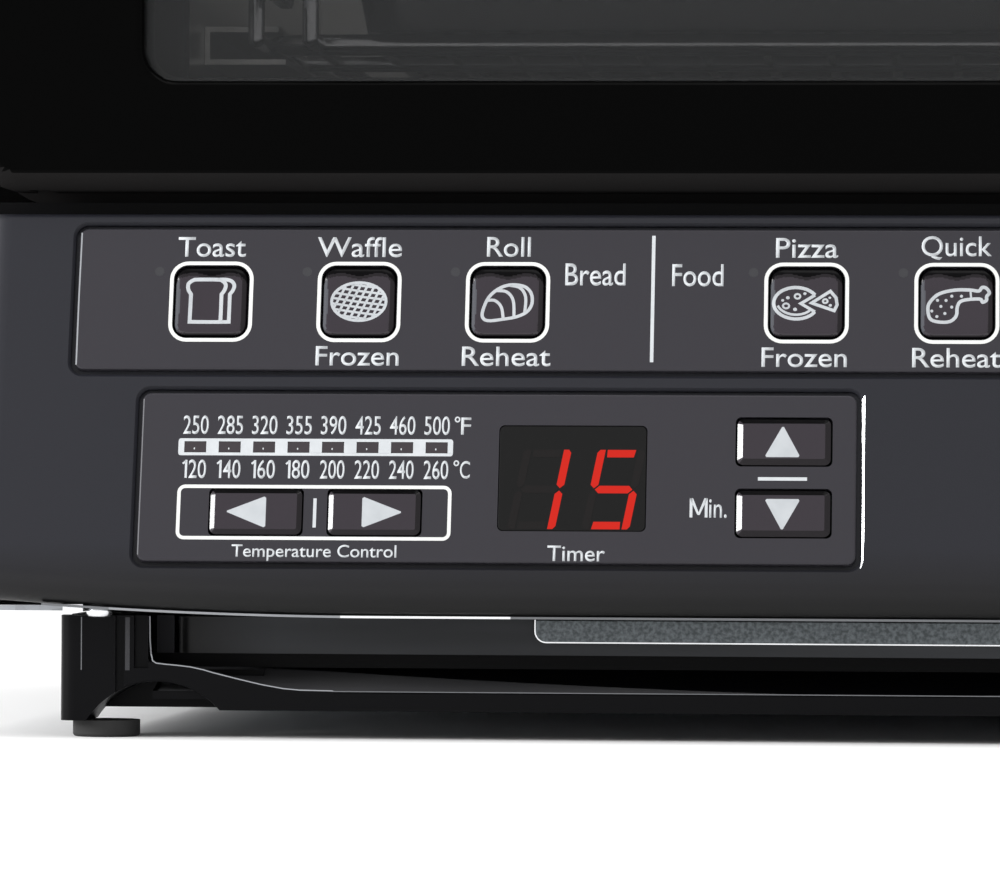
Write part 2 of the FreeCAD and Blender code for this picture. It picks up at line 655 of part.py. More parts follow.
def door_frame():
    """Moulded door: a deep ring around the window, with a raised bead and two pin bosses."""
    outer = upright((-DOOR_HALF_W, DOOR_HALF_W), (DOOR_BOTTOM_Z, DOOR_TOP_Z), (DOOR_FRONT_Y, DOOR_BACK_Y), 7.0)

    def front_rim(edge):
        return abs(edge.CenterOfMass.y - DOOR_FRONT_Y) < 1e-3

    outer = round_edges(outer, 3.5, front_rim)
    window_x = (-WINDOW_HALF_W, WINDOW_HALF_W)
    window = upright(window_x, (WINDOW_BOTTOM_Z, WINDOW_TOP_Z), (DOOR_FRONT_Y - 1, DOOR_BACK_Y + 1), 6.0)
    ring = outer.cut(window)

    def window_rim(edge):
        centre = edge.CenterOfMass
        inside = abs(centre.x) < WINDOW_HALF_W + 1 and WINDOW_BOTTOM_Z - 1 < centre.z < WINDOW_TOP_Z + 1
        return inside and abs(centre.y - DOOR_FRONT_Y) < 1e-3

    ring = round_edges(ring, 1.4, window_rim)
    wall = 2.2
    hollow_y = (DOOR_FRONT_Y + SKIN, DOOR_BACK_Y + 1)
    hollow = upright(
        (-DOOR_HALF_W + wall, DOOR_HALF_W - wall), (DOOR_BOTTOM_Z + wall, DOOR_TOP_Z - wall), hollow_y, 3.0
    )
    ring = ring.cut(hollow)
    bosses = []
    for side in (-1, 1):
        boss = rod((side * 147.5, HINGE_Y, HINGE_Z), (side * 149.8, HINGE_Y, HINGE_Z), 3.2)
        web = box(sorted((side * 147.5, side * 149.8)), (DOOR_FRONT_Y + 1.5, HINGE_Y), (HINGE_Z - 3.2, HINGE_Z + 3.2))
        outer_boss = rod((side * 154.2, HINGE_Y, HINGE_Z), (side * 156.5, HINGE_Y, HINGE_Z), 3.2)
        outer_x = sorted((side * 154.2, side * 156.5))
        outer_web = box(outer_x, (DOOR_FRONT_Y + 1.5, HINGE_Y), (HINGE_Z - 3.2, HINGE_Z + 3.2))
        bosses += [boss, web, outer_boss, outer_web]
        post = rod((side * HANDLE_POST_X, DOOR_FRONT_Y + 1, HANDLE_Z), (side * HANDLE_POST_X, DOOR_BACK_Y + 2, HANDLE_Z), 4.5)
        bosses.append(post.common(box((-170, 170), (DOOR_FRONT_Y, DOOR_BACK_Y - 1.4), (90, 250))))
    door = fuse([ring, *bosses])
    holes = bracket_slots()
    for side in (-1, 1):
        holes.append(rod((side * 140, HINGE_Y, HINGE_Z), (side * 160, HINGE_Y, HINGE_Z), PIN_R))
        x = side * HANDLE_POST_X
        holes.append(rod((x, DOOR_FRONT_Y - 2, HANDLE_Z), (x, DOOR_BACK_Y + 2, HANDLE_Z), 2.1))
    return cut(door, holes)


HANDLE_POST_X = 104.0


def door_glass():
    """Toughened pane, held between the front skin and the inner frame."""
    pane_y = (DOOR_FRONT_Y + SKIN + 0.1, DOOR_FRONT_Y + SKIN + 4.1)
    pane = upright((-WINDOW_HALF_W - 7, WINDOW_HALF_W + 7), (WINDOW_BOTTOM_Z - 5, WINDOW_TOP_Z + 5), pane_y, 4.0)
    return pane.makeChamfer(0.4, [e for e in pane.Edges if abs(e.CenterOfMass.y - pane_y[0]) < 1e-3])


def door_inner_frame():
    """Pressed steel back of the door, lipped forward to clamp the pane."""
    y = (DOOR_BACK_Y - 1.2, DOOR_BACK_Y - 0.2)
    plate = upright((-DOOR_HALF_W + 2.5, DOOR_HALF_W - 2.5), (DOOR_BOTTOM_Z + 2.5, DOOR_TOP_Z - 2.5), y, 4.0)
    window_x, window_z = (-WINDOW_HALF_W + 1, WINDOW_HALF_W - 1), (WINDOW_BOTTOM_Z + 1, WINDOW_TOP_Z - 1)
    window = upright(window_x, window_z, (y[0] - 1, y[1] + 1), 5.0)
    lip_y = (DOOR_FRONT_Y + SKIN + 4.3, y[0] + 0.1)
    lip = upright((window_x[0] - 1, window_x[1] + 1), (window_z[0] - 1, window_z[1] + 1), lip_y, 6.0)
    lip = lip.cut(upright(window_x, window_z, (lip_y[0] - 1, lip_y[1] + 1), 5.0))
    holes = bracket_slots(0.4)
    for side in (-1, 1):
        x = side * HANDLE_POST_X
        holes.append(rod((x, y[0] - 1, HANDLE_Z), (x, y[1] + 1, HANDLE_Z), 2.0))
    return cut(fuse([plate.cut(window), lip]), holes)


def hinge_brackets():
    """A plate on each side of the front frame, with the bore that the door turns on."""
    x = (BRACKET_X - 1, BRACKET_X + 1)
    nose = 3.6
    arm = box(x, (HINGE_Y, FRAME_FACE_Y - 0.1), (HINGE_Z - nose, HINGE_Z + nose))
    tip = rod((x[0], HINGE_Y, HINGE_Z), (x[1], HINGE_Y, HINGE_Z), nose)
    root = box((x[0], x[1] + 7), (FRAME_FACE_Y - 1.3, FRAME_FACE_Y - 0.1), (HINGE_Z - nose, HINGE_Z + 16))
    bore = rod((x[0] - 1, HINGE_Y, HINGE_Z), (x[1] + 1, HINGE_Y, HINGE_Z), PIN_R + 0.05)
    return both_sides(cut(fuse([arm, tip, root]), [bore]))


def hinge_pins():
    """Pins pressed into the door on each side of a bracket."""
    pin = rod((147.5, HINGE_Y, HINGE_Z), (160.4, HINGE_Y, HINGE_Z), PIN_R)
    head = rod((146.3, HINGE_Y, HINGE_Z), (147.5, HINGE_Y, HINGE_Z), 2.4)
    return both_sides(fuse([pin, head]))


def door_handle():
    """Bowed grip bar on two posts."""
    bow = 6.0
    depth, height = 8.0, 15.0
    centre_y = FRONT_Y + depth / 2
    ends = Vector(-HANDLE_HALF, centre_y + bow, HANDLE_Z), Vector(HANDLE_HALF, centre_y + bow, HANDLE_Z)
    path = Part.Wire(Part.Arc(ends[0], Vector(0, centre_y, HANDLE_Z), ends[1]).toShape())
    oval = Part.Ellipse(Vector(0, 0, 0), height / 2, depth / 2).toShape()
    section = Part.Wire(oval)
    first = path.Edges[0]
    tangent = first.tangentAt(first.FirstParameter)
    section.Placement = Placement(ends[0], Rotation(Vector(0, 0, 1), tangent, Vector(1, 0, 0), "ZXY"))
    bar = path.makePipeShell([section], True, False)
    pieces = [bar]
    for side in (-1, 1):
        x = side * HANDLE_POST_X
        post = upright((x - 8, x + 8), (HANDLE_Z - 5.5, HANDLE_Z + 5.5), (centre_y + 3.6, DOOR_FRONT_Y - 0.05), 4.0)
        pieces.append(post)
    handle = fuse(pieces)
    bores = []
    for side in (-1, 1):
        x = side * HANDLE_POST_X
        bores.append(rod((x, centre_y + 9, HANDLE_Z), (x, DOOR_FRONT_Y + 2, HANDLE_Z), 2.05))
    return cut(handle, bores)


def handle_screws():
    """Screws from inside the door into the handle posts."""
    screws = []
    for side in (-1, 1):
        x = side * HANDLE_POST_X
        shank = rod((x, -134.5, HANDLE_Z), (x, DOOR_BACK_Y, HANDLE_Z), 1.9)
        head = rod((x, DOOR_BACK_Y - 0.1, HANDLE_Z), (x, DOOR_BACK_Y + 1.9, HANDLE_Z), 3.8)
        screws.append(fuse([shank, head]))
    return compound(screws)


def rack_hooks():
    """Arm and cross pin on each side of the door, which draw the rack's loops forward."""
    pin_y, pin_z = HINGE_Y + 34, HINGE_Z + 34
    arm = box((LOOP_X - 1, LOOP_X + 1), (DOOR_BACK_Y - 0.2, pin_y), (pin_z - 4, pin_z + 4))
    foot = box((LOOP_X - 1, LOOP_X + 9), (DOOR_BACK_Y - 0.2, DOOR_BACK_Y + 1), (pin_z - 4, pin_z + 4))
    pin = rod((LOOP_X - 7, pin_y, pin_z), (LOOP_X + 7, pin_y, pin_z), 1.5)
    nose = rod((LOOP_X - 1, pin_y, pin_z), (LOOP_X + 1, pin_y, pin_z), 4.0)
    return both_sides(fuse([arm, foot, pin, nose]))


def door_springs():
    """Torsion spring on each side, standing beside its hinge bracket."""
    wire, coil_r, turns, pitch = 0.4, 2.2, 2, 1.0
    start = BRACKET_X + 5.0
    springs = []
    for side in (-1, 1):
        helix = Part.makeHelix(pitch, pitch * turns, coil_r)
        corners = [math.radians(60 * k) for k in range(7)]
        section = Part.makePolygon([Vector(coil_r + wire * math.cos(a), 0, wire * math.sin(a)) for a in corners])
        coil = Part.Wire(helix).makePipeShell([section], True, True)
        coil.rotate(Vector(0, 0, 0), Vector(0, 1, 0), 90)
        coil.translate(Vector(start, HINGE_Y, HINGE_Z))
        springs.append(coil if side > 0 else mirrored(coil))
    return compound(springs)


# ---------------------------------------------------------------- fascia
def fascia_blank():
    """Solid wedge of the fascia: leaning face, swept-up ends of the lip, rounded corners."""
    slope = math.radians(LEAN)
    top_y = LIP_Y + FACE_LENGTH * math.sin(slope)
    top_z = LIP_Z + FACE_LENGTH * math.cos(slope)
    rear_y = SHELL_FRONT_Y - 0.3
    side_view = [
        (-HALF_W, LIP_Y, LIP_Z),
        (-HALF_W, top_y, top_z),
        (-HALF_W, rear_y, top_z),
        (-HALF_W, rear_y, LIP_Z),
    ]
    wedge = polygon(side_view, (WIDTH, 0, 0))
    rise = LIP_SWEEP_R - math.sqrt(LIP_SWEEP_R**2 - (HALF_W - LIP_FLAT_HALF) ** 2)
    half_run = (HALF_W - LIP_FLAT_HALF) / 2
    half_rise = LIP_SWEEP_R - math.sqrt(LIP_SWEEP_R**2 - half_run**2)
    y = LIP_Y - 5

    def sweep(side):
        return [
            Vector(side * LIP_FLAT_HALF, y, LIP_Z),
            Vector(side * (LIP_FLAT_HALF + half_run), y, LIP_Z + half_rise),
            Vector(side * HALF_W, y, LIP_Z + rise),
        ]

    right, left = sweep(1), sweep(-1)
    front = Part.Wire(
        [
            Part.makeLine(left[0], right[0]),
            Part.Arc(*right).toShape(),
            Part.makeLine(right[2], Vector(HALF_W, y, top_z)),
            Part.makeLine(Vector(HALF_W, y, top_z), Vector(-HALF_W, y, top_z)),
            Part.makeLine(Vector(-HALF_W, y, top_z), left[2]),
            Part.Arc(left[2], left[1], left[0]).toShape(),
        ]
    )
    blank = wedge.common(Part.Face(front).extrude(Vector(0, 60, 0)))

    def end_corner(edge):
        centre = edge.CenterOfMass
        return abs(abs(centre.x) - HALF_W) < 1e-3 and centre.y < -125 and centre.z > LIP_Z + 20

    blank = round_edges(blank, 8.0, end_corner)

    def lip_edge(edge):
        centre = edge.CenterOfMass
        low = centre.z < LIP_Z + 6 and centre.y < LIP_Y + 9
        return low and edge.BoundBox.ZMax < LIP_Z + 8

    blank = round_edges(blank, 5.0, lip_edge)

    def top_edge(edge):
        centre = edge.CenterOfMass
        return centre.z > top_z - 0.01 and centre.y < -110 and edge.BoundBox.YMax < -109.5

    return round_edges(blank, 1.4, top_edge)


def preset_centres():
    return [(PRESET_FIRST_U + step * PRESET_PITCH, PRESET_V) for step in PRESET_STEPS]


def key_openings(clear, w):
    """Holes for every key, between the depths of pair w."""
    holes = []
    for u, v in preset_centres():
        half = PRESET_SIZE / 2 + clear
        holes.append(slab((u - half, u + half), (v - half, v + half), w, 2.4))
    for u, v, width, height in SMALL_KEYS.values():
        a, b = width / 2 + clear, height / 2 + clear
        holes.append(slab((u - a, u + a), (v - b, v + b), w, 1.0))
    return holes


def lamp_openings(clear, w):
    """Holes for the temperature lamps, the preset lamps and the power lamp."""
    holes = []
    a, b = LAMP_SIZE[0] / 2 + clear, LAMP_SIZE[1] / 2 + clear
    for i in range(LAMP_COUNT):
        u = LAMP_FIRST_U + i * LAMP_PITCH
        holes.append(slab((u - a, u + a), (LAMP_V - b, LAMP_V + b), w, 0.3))
    for u, v in preset_centres():
        at = Vector(u + PRESET_LAMP[0], v + PRESET_LAMP[1], w[0])
        holes.append(Part.makeCylinder(0.7 + clear, w[1] - w[0], at))
    return holes


def window_block(clear, w, r=1.0):
    u, v, width, height = WINDOW
    a, b = width / 2 + clear, height / 2 + clear
    return slab((u - a, u + a), (v - b, v + b), w, r)


def control_fascia():
    """Moulded front below the door: hollow, with recesses, key holes and board bosses."""
    blank = fascia_blank()
    slope = math.radians(LEAN)
    rear_y = SHELL_FRONT_Y + 5
    floor_z, roof_z = LIP_Z + 3.5, LIP_Z + FACE_LENGTH * math.cos(slope) - 2.2
    front_low = LIP_Y + FACE_WALL / math.cos(slope) + (floor_z - LIP_Z) * math.tan(slope)
    front_high = LIP_Y + FACE_WALL / math.cos(slope) + (roof_z - LIP_Z) * math.tan(slope)
    inner = HALF_W - 2.6
    hollow = polygon(
        [
            (-inner, front_low, floor_z),
            (-inner, front_high, roof_z),
            (-inner, rear_y, roof_z),
            (-inner, rear_y, floor_z),
        ],
        (2 * inner, 0, 0),
    )
    shell = blank.cut(hollow)
    cutters = []
    for u0, u1, v0, v1 in PLATES.values():
        cutters.append(slab((u0 - GROOVE, u1 + GROOVE), (v0 - GROOVE, v1 + GROOVE), (-RECESS, 3), 2.2))
    through = (-FACE_WALL - 1, 1)
    cutters += key_openings(0.5, through) + lamp_openings(0.1, through)
    cutters.append(window_block(0.2, through))
    shell = cut(shell, [on_face(c) for c in cutters])

    def recess_rim(edge):
        middle = FACE.inverse().multVec(edge.CenterOfMass)
        if abs(middle.z) > 1e-3:
            return False
        for u0, u1, v0, v1 in PLATES.values():
            if u0 - 1 < middle.x < u1 + 1 and v0 - 1 < middle.y < v1 + 1:
                return True
        return False

    shell = shell.makeChamfer(0.5, [e for e in shell.Edges if recess_rim(e)])
    bosses = []
    for u in (-134.5, 67.0, 134.5):
        for v in (11.5, 63.0):
            boss = Part.makeCylinder(3.0, -BOARD_W - FACE_WALL + 0.5, Vector(u, v, BOARD_W + 0.1))
            bosses.append(on_face(boss))
    return fuse([shell, *bosses])


def plate(name):
    """A trim plate that stands just proud of its recess, with a rounded rim."""
    u0, u1, v0, v1 = PLATES[name]
    w = (-RECESS + 0.05, PLATE_PROUD)
    sheet = slab((u0, u1), (v0, v1), w, 1.6)
    sheet = round_edges(sheet, 0.4, lambda e: abs(e.CenterOfMass.z - w[1]) < 1e-3)
    deep = (w[0] - 1, w[1] + 1)
    holes = []
    for hole in key_openings(0.3, deep) + lamp_openings(0.05, deep) + [window_block(0.1, deep)]:
        centre = hole.BoundBox.Center
        if u0 < centre.x < u1 and v0 < centre.y < v1:
            holes.append(hole)
    return on_face(cut(sheet, holes))


def display_window():
    """Smoked lens in front of the timer's digits."""
    lens = window_block(0.0, (-3.2, PLATE_PROUD + 0.05))
    top = PLATE_PROUD + 0.05
    return on_face(lens.makeChamfer(0.15, [e for e in lens.Edges if abs(e.CenterOfMass.z - top) < 1e-3]))


def display_module():
    """Two-digit block that stands on the control board behind the lens."""
    u, v, width, height = WINDOW
    case = slab((u - 12.5, u + 12.5), (v - 9.5, v + 9.5), (BOARD_W + 0.05, -3.9), 0.8)
    pits = []
    for digit_u in (u - 6.35, u + 6.35):
        for y in (-6.2, 0.0, 6.2):
            pits.append(box((digit_u - 2.6, digit_u + 2.6), (v + y - 0.7, v + y + 0.7), (-4.3, -3)))
        for x in (-3.5, 3.5):
            for y in (-3.1, 3.1):
                pits.append(box((digit_u + x - 0.7, digit_u + x + 0.7), (v + y - 2.2, v + y + 2.2), (-4.3, -3)))
    return on_face(cut(case, pits))


def lamp_lenses():
    """Light pipes of the temperature scale and of the preset lamps."""
    w = (-5.5, PLATE_PROUD)
    return compound(on_face(hole) for hole in lamp_openings(-0.05, w))


def key_body(u, v, cap, size):
    """Adds the retaining flange and the stem that reaches for the switch."""
    a, b = size[0] / 2 + 1.1, size[1] / 2 + 1.1
    flange = slab((u - a, u + a), (v - b, v + b), (-4.75, -FACE_WALL - 0.15), 1.6)
    stem = Part.makeCylinder(2.0, 3.0, Vector(u, v, -7.5))
    return on_face(fuse([cap, flange, stem]))


def preset_key(index):
    """Square key with a dished top."""
    u, v = preset_centres()[index]
    half = PRESET_SIZE / 2
    top = 0.55
    cap = slab((u - half, u + half), (v - half, v + half), (-4.5, top), 2.2)
    cap = round_edges(cap, 0.35, lambda e: e.CenterOfMass.z > top - 0.01)
    dish_r = 34.0
    cap = cap.cut(Part.makeSphere(dish_r, Vector(u, v, top + dish_r - 0.48)))
    return key_body(u, v, cap, (PRESET_SIZE, PRESET_SIZE))


def small_key(name):
    """Flat-topped key with a bevelled rim."""
    u, v, width, height = SMALL_KEYS[name]
    a, b = width / 2, height / 2
    top = 0.7
    cap = slab((u - a, u + a), (v - b, v + b), (-4.5, top), 1.15)
    cap = cap.makeChamfer(0.9, [e for e in cap.Edges if e.CenterOfMass.z > top - 0.01])
    return key_body(u, v, cap, (width, height))


def key_centres():
    return preset_centres() + [(u, v) for u, v, _, _ in SMALL_KEYS.values()]


def control_board():
    """Board parallel to the face, with the ribbon socket and the beeper at its back."""
    u0, u1, v0, v1 = BOARD
    board = slab((u0, u1), (v0, v1), (BOARD_W - 1.6, BOARD_W), 2.0)
    socket = box((20, 44), (49, 56), (BOARD_W - 4.5, BOARD_W - 1.5))
    beeper = Part.makeCylinder(6.0, 5.0, Vector(-30, 22, BOARD_W - 6.5))
    holes = [Part.makeCylinder(1.3, 4, Vector(u, v, BOARD_W - 2)) for u, v in BOARD_SCREWS]
    return on_face(cut(fuse([board, socket, beeper]), holes))


BOARD_SCREWS = ((-134.5, 11.5), (134.5, 11.5), (134.5, 63.0), (-134.5, 63.0))


def tact_switches():
    """One push switch on the board behind each key."""
    switches = []
    for u, v in key_centres():
        case = box((u - 3, u + 3), (v - 3, v + 3), (BOARD_W + 0.05, BOARD_W + 2.9))
        plunger = Part.makeCylinder(1.7, 1.1, Vector(u, v, BOARD_W + 2.8))
        switches.append(on_face(fuse([case, plunger])))
    return compound(switches)


def power_board():
    """Upright board beside the cavity, with relays, transformer, capacitor and fuse."""
    x = (159.6, 161.2)
    board = box(x, (-66, 74), (56, 160))
    pieces = [board]
    for z in (76, 100):
        pieces.append(box((142, x[0] + 0.1), (-52, -32), (z, z + 16)))
    pieces.append(box((139, x[0] + 0.1), (-12, 22), (66, 98)))
    pieces.append(box((143, x[0] + 0.1), (-8, 18), (62, 102)))
    pieces.append(rod((144, 48, 78), (x[0] + 0.1, 48, 78), 8.0))
    pieces.append(box((150, x[0] + 0.1), (36, 58), (110, 120)))
    pieces.append(box((148, x[0] + 0.1), (-50, 10), (130, 142)))
    return fuse(pieces)


def ribbon_cable():
    """Flat lead from the control board to the power board's side of the cabinet."""
    width = (62.0, 76.0)
    y = -108.6
    plug = on_face(box((22, 42), (50, 55), (BOARD_W - 9.6, BOARD_W - 4.55)))
    run = box((22.0, 139.0), (y, y + 0.9), width)
    back = box((138.1, 139.0), (y, -60.0), width)
    up = box((138.1, 159.4), (-60.9, -60.0), width)
    return fuse([plug, run, back, up])


def case_screws():
    """Pan-head screws that hold the back panel."""
    screws = []
    for x, z in REAR_SCREWS:
        y = SHELL_REAR_Y - 0.55
        head = rod((x, y, z), (x, y + 2.2, z), 3.5)
        head = round_edges(head, 1.1, lambda e: e.CenterOfMass.y > y + 2.1)
        slot = box((x - 2.4, x + 2.4), (y + 1.2, y + 3), (z - 0.5, z + 0.5))
        cross = box((x - 0.5, x + 0.5), (y + 1.2, y + 3), (z - 2.4, z + 2.4))
        shank = rod((x, y - 5, z), (x, y + 0.1, z), 1.5)
        screws.append(cut(fuse([head, shank]), [slot, cross]))
    return compound(screws)


# ---------------------------------------------------------------- the set
def all_parts():
    parts = {
        "outer_shell": outer_shell(),
        "rear_panel": rear_panel(),
        "cord_bush": cord_bush(),
        "rear_spacers": rear_spacers(),
        "front_frame": front_frame(),
        "base_pan": base_pan(),
        "base_front": base_front(),
        "base_skirt": base_skirt(),
        "rubber_feet": rubber_feet(),
        "cavity_wrap": cavity_wrap(),
        "cavity_back": cavity_back(),
        "cavity_front_wall": cavity_front_wall(),
        "rack_rails": rack_rails(),
        "upper_front_heater": heater_tube(TUBE_Y[0], UPPER_TUBE_Z),
        "upper_rear_heater": heater_tube(TUBE_Y[1], UPPER_TUBE_Z),
        "lower_front_heater": heater_tube(TUBE_Y[0], LOWER_TUBE_Z),
        "lower_rear_heater": heater_tube(TUBE_Y[1], LOWER_TUBE_Z),
        "heater_filaments": heater_filaments(),
        "heater_end_caps": heater_end_caps(),
        "upper_heater_guard": heater_guard(216.0, 217.4),
        "lower_heater_guard": heater_guard(72.0, 70.6),
        "temperature_sensor": temperature_sensor(),
        "thermal_cutoff": thermal_cutoff(),
        "wire_rack": wire_rack(),
        "baking_tray": baking_tray(),
        "crumb_tray": crumb_tray(),
        "crumb_tray_pull": crumb_tray_pull(),
        "door_frame": door_frame(),
        "door_glass": door_glass(),
        "door_inner_frame": door_inner_frame(),
        "door_handle": door_handle(),
        "handle_screws": handle_screws(),
        "hinge_brackets": hinge_brackets(),
        "hinge_pins": hinge_pins(),
        "door_springs": door_springs(),
        "rack_hooks": rack_hooks(),
        "control_fascia": control_fascia(),
        "preset_plate": plate("preset"),
        "timer_plate": plate("timer"),
        "start_plate": plate("start"),
        "display_window": display_window(),
        "display_module": display_module(),
        "lamp_lenses": lamp_lenses(),
        "control_board": control_board(),
        "tact_switches": tact_switches(),
        "power_board": power_board(),
        "ribbon_cable": ribbon_cable(),
        "case_screws": case_screws(),
    }
    for i, name in enumerate(PRESET_NAMES):
        parts[name + "_key"] = preset_key(i)
    for name in SMALL_KEYS:
        parts[name + "_key"] = small_key(name)
    return parts


os.makedirs("parts", exist_ok=True)
for node, shape in all_parts().items():
    solids = shape.Solids
    state = "ok" if solids and all(s.isValid() and s.Volume > 0 for s in solids) else "BAD"
    print(f"{node:22s} {state} solids {len(solids)} volume {shape.Volume:.0f}")
    shape.exportStep(os.path.join("parts", node + ".step"))
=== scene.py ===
import json
import math

import bmesh
import bpy
from mathutils import Matrix, Vector


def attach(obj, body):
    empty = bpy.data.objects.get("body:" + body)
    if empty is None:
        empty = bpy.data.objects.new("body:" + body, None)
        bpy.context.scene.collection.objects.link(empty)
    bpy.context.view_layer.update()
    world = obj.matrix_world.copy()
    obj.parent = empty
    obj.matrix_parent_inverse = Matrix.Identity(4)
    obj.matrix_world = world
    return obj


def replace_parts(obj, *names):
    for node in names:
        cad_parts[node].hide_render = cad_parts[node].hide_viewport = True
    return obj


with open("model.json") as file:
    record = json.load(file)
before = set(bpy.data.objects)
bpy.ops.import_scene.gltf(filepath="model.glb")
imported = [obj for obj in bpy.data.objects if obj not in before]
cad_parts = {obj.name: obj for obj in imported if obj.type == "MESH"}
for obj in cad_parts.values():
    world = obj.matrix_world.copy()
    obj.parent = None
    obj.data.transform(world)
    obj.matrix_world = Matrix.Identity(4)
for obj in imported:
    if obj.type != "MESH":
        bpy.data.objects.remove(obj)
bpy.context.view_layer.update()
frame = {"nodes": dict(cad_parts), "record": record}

MM = 0.001
NODES = frame["nodes"]

# ------------------------------------------------------------ the fascia's own axes
# u runs along X, v up the leaning face from the lip, w out of it, all in millimetres.
LEAN = math.radians(15.5)
LIP_Y, LIP_Z = -142.6, 22.0
PLATE_TOP = 0.25
KEY_TOP = 0.7
PRINT = 0.02  # how far the ink stands above its surface
SIDES = ((-1, "left"), (1, "right"))

# the preset keys are evenly spaced, and a printed divider takes the fourth place
PRESET_FIRST_U, PRESET_PITCH = -120.45, 26.45
PRESET_U = [PRESET_FIRST_U + PRESET_PITCH * k for k in (0, 1, 2, 4, 5, 6)]
PRESET_V = 57.6
PRESET_HALF = 6.4

# middles of the flat keys; those of the start plate are to the right of the picture
TEMPERATURE_DOWN_U, TEMPERATURE_UP_U, TEMPERATURE_V = -111.0, -90.05, 18.92
TIMER_U, TIMER_UP_V, TIMER_DOWN_V = -18.3, 32.1, 19.1
START_U, START_V, POWER_V = 108.0, 25.0, 56.0


def on_face(u, v, w=PLATE_TOP + PRINT):
    """The place of a point on the fascia, in metres."""
    y = LIP_Y + v * math.sin(LEAN) - w * math.cos(LEAN)
    z = LIP_Z + v * math.cos(LEAN) + w * math.sin(LEAN)
    return Vector((u, y, z)) * MM


# ------------------------------------------------------------ how materials are made
def principled(name, color, roughness, metallic=0.0, specular=0.5, **sockets):
    """A plain material. Other sockets are named with _ for the spaces."""
    mat = bpy.data.materials.new(name)
    mat.use_nodes = True
    shader = mat.node_tree.nodes["Principled BSDF"]
    shader.inputs["Base Color"].default_value = (*color, 1)
    shader.inputs["Roughness"].default_value = roughness
    shader.inputs["Metallic"].default_value = metallic
    shader.inputs["Specular IOR Level"].default_value = specular
    for key, value in sockets.items():
        shader.inputs[key.replace("_", " ")].default_value = value
    return mat


def add(mat, kind, **values):
    """A new node in the material, with its input values set."""
    node = mat.node_tree.nodes.new(kind)
    for key, value in values.items():
        node.inputs[key.replace("_", " ")].default_value = value
    return node


def place_of(mat, stretch=(1, 1, 1)):
    """The place on the object, in metres, scaled by stretch."""
    links = mat.node_tree.links
    coords = add(mat, "ShaderNodeTexCoord")
    mapping = add(mat, "ShaderNodeMapping", Scale=stretch)
    links.new(coords.outputs["Object"], mapping.inputs["Vector"])
    return mapping.outputs["Vector"]


def grain(mat, scale, strength, distance=0.0001, stretch=(1, 1, 1)):
    """A fine bump all over the surface."""
    links = mat.node_tree.links
    noise = add(mat, "ShaderNodeTexNoise", Scale=scale, Detail=2.0)
    links.new(place_of(mat, stretch), noise.inputs["Vector"])
    bump = add(mat, "ShaderNodeBump", Strength=strength, Distance=distance)
    links.new(noise.outputs["Fac"], bump.inputs["Height"])
    links.new(bump.outputs["Normal"], mat.node_tree.nodes["Principled BSDF"].inputs["Normal"])
    return mat


def mottle(mat, low, high, scale, socket="Base Color", stretch=(1, 1, 1), cells=False):
    """Lets a colour or the roughness wander between two values."""
    links = mat.node_tree.links
    kind = "ShaderNodeTexVoronoi" if cells else "ShaderNodeTexNoise"
    texture = add(mat, kind, Scale=scale)
    links.new(place_of(mat, stretch), texture.inputs["Vector"])
    ramp = add(mat, "ShaderNodeValToRGB")
    first, last = ramp.color_ramp.elements
    first.position, last.position = (0.0, 1.0) if cells else (0.35, 0.65)
    first.color = (*low, 1) if isinstance(low, tuple) else (low, low, low, 1)
    last.color = (*high, 1) if isinstance(high, tuple) else (high, high, high, 1)
    links.new(texture.outputs["Color" if cells else "Fac"], ramp.inputs["Fac"])
    links.new(ramp.outputs["Color"], mat.node_tree.nodes["Principled BSDF"].inputs[socket])
    return mat


def clear_glass(name, tint, roughness, alpha):
    """See-through glass, with a faint unevenness."""
    mat = principled(name, tint, roughness, Alpha=alpha)
    mat.surface_render_method = "BLENDED"
    return grain(mat, 30, 0.02)


def fade_down(mat, low_z, high_z, stops):
    """Colours the surface by its height, with (place, colour) stops from low_z to high_z."""
    links = mat.node_tree.links
    split = add(mat, "ShaderNodeSeparateXYZ")
    links.new(place_of(mat), split.inputs["Vector"])
    span = add(mat, "ShaderNodeMapRange", From_Min=low_z, From_Max=high_z)
    links.new(split.outputs["Z"], span.inputs["Value"])
    ramp = add(mat, "ShaderNodeValToRGB")
    elements = ramp.color_ramp.elements
    while len(elements) < len(stops):
        elements.new(0.5)
    for element, (at, color) in zip(elements, stops):
        element.position = at
        element.color = (*color, 1)
    links.new(span.outputs["Result"], ramp.inputs["Fac"])
    links.new(ramp.outputs["Color"], mat.node_tree.nodes["Principled BSDF"].inputs["Base Color"])
    return mat


def fade_ends(mat, start, stop, dark):
    """Darkens the colour towards both ends of a wide piece, from start to stop metres off its middle."""
    links = mat.node_tree.links
    socket = mat.node_tree.nodes["Principled BSDF"].inputs["Base Color"]
    before = socket.links[0].from_socket
    split = add(mat, "ShaderNodeSeparateXYZ")
    links.new(place_of(mat), split.inputs["Vector"])
    off_middle = add(mat, "ShaderNodeMath")
    off_middle.operation = "ABSOLUTE"
    links.new(split.outputs["X"], off_middle.inputs[0])
    span = add(mat, "ShaderNodeMapRange", From_Min=start, From_Max=stop)
    links.new(off_middle.outputs[0], span.inputs["Value"])
    mix = add(mat, "ShaderNodeMixRGB", Color2=(*dark, 1))
    links.new(span.outputs["Result"], mix.inputs["Fac"])
    links.new(before, mix.inputs["Color1"])
    links.new(mix.outputs["Color"], socket)


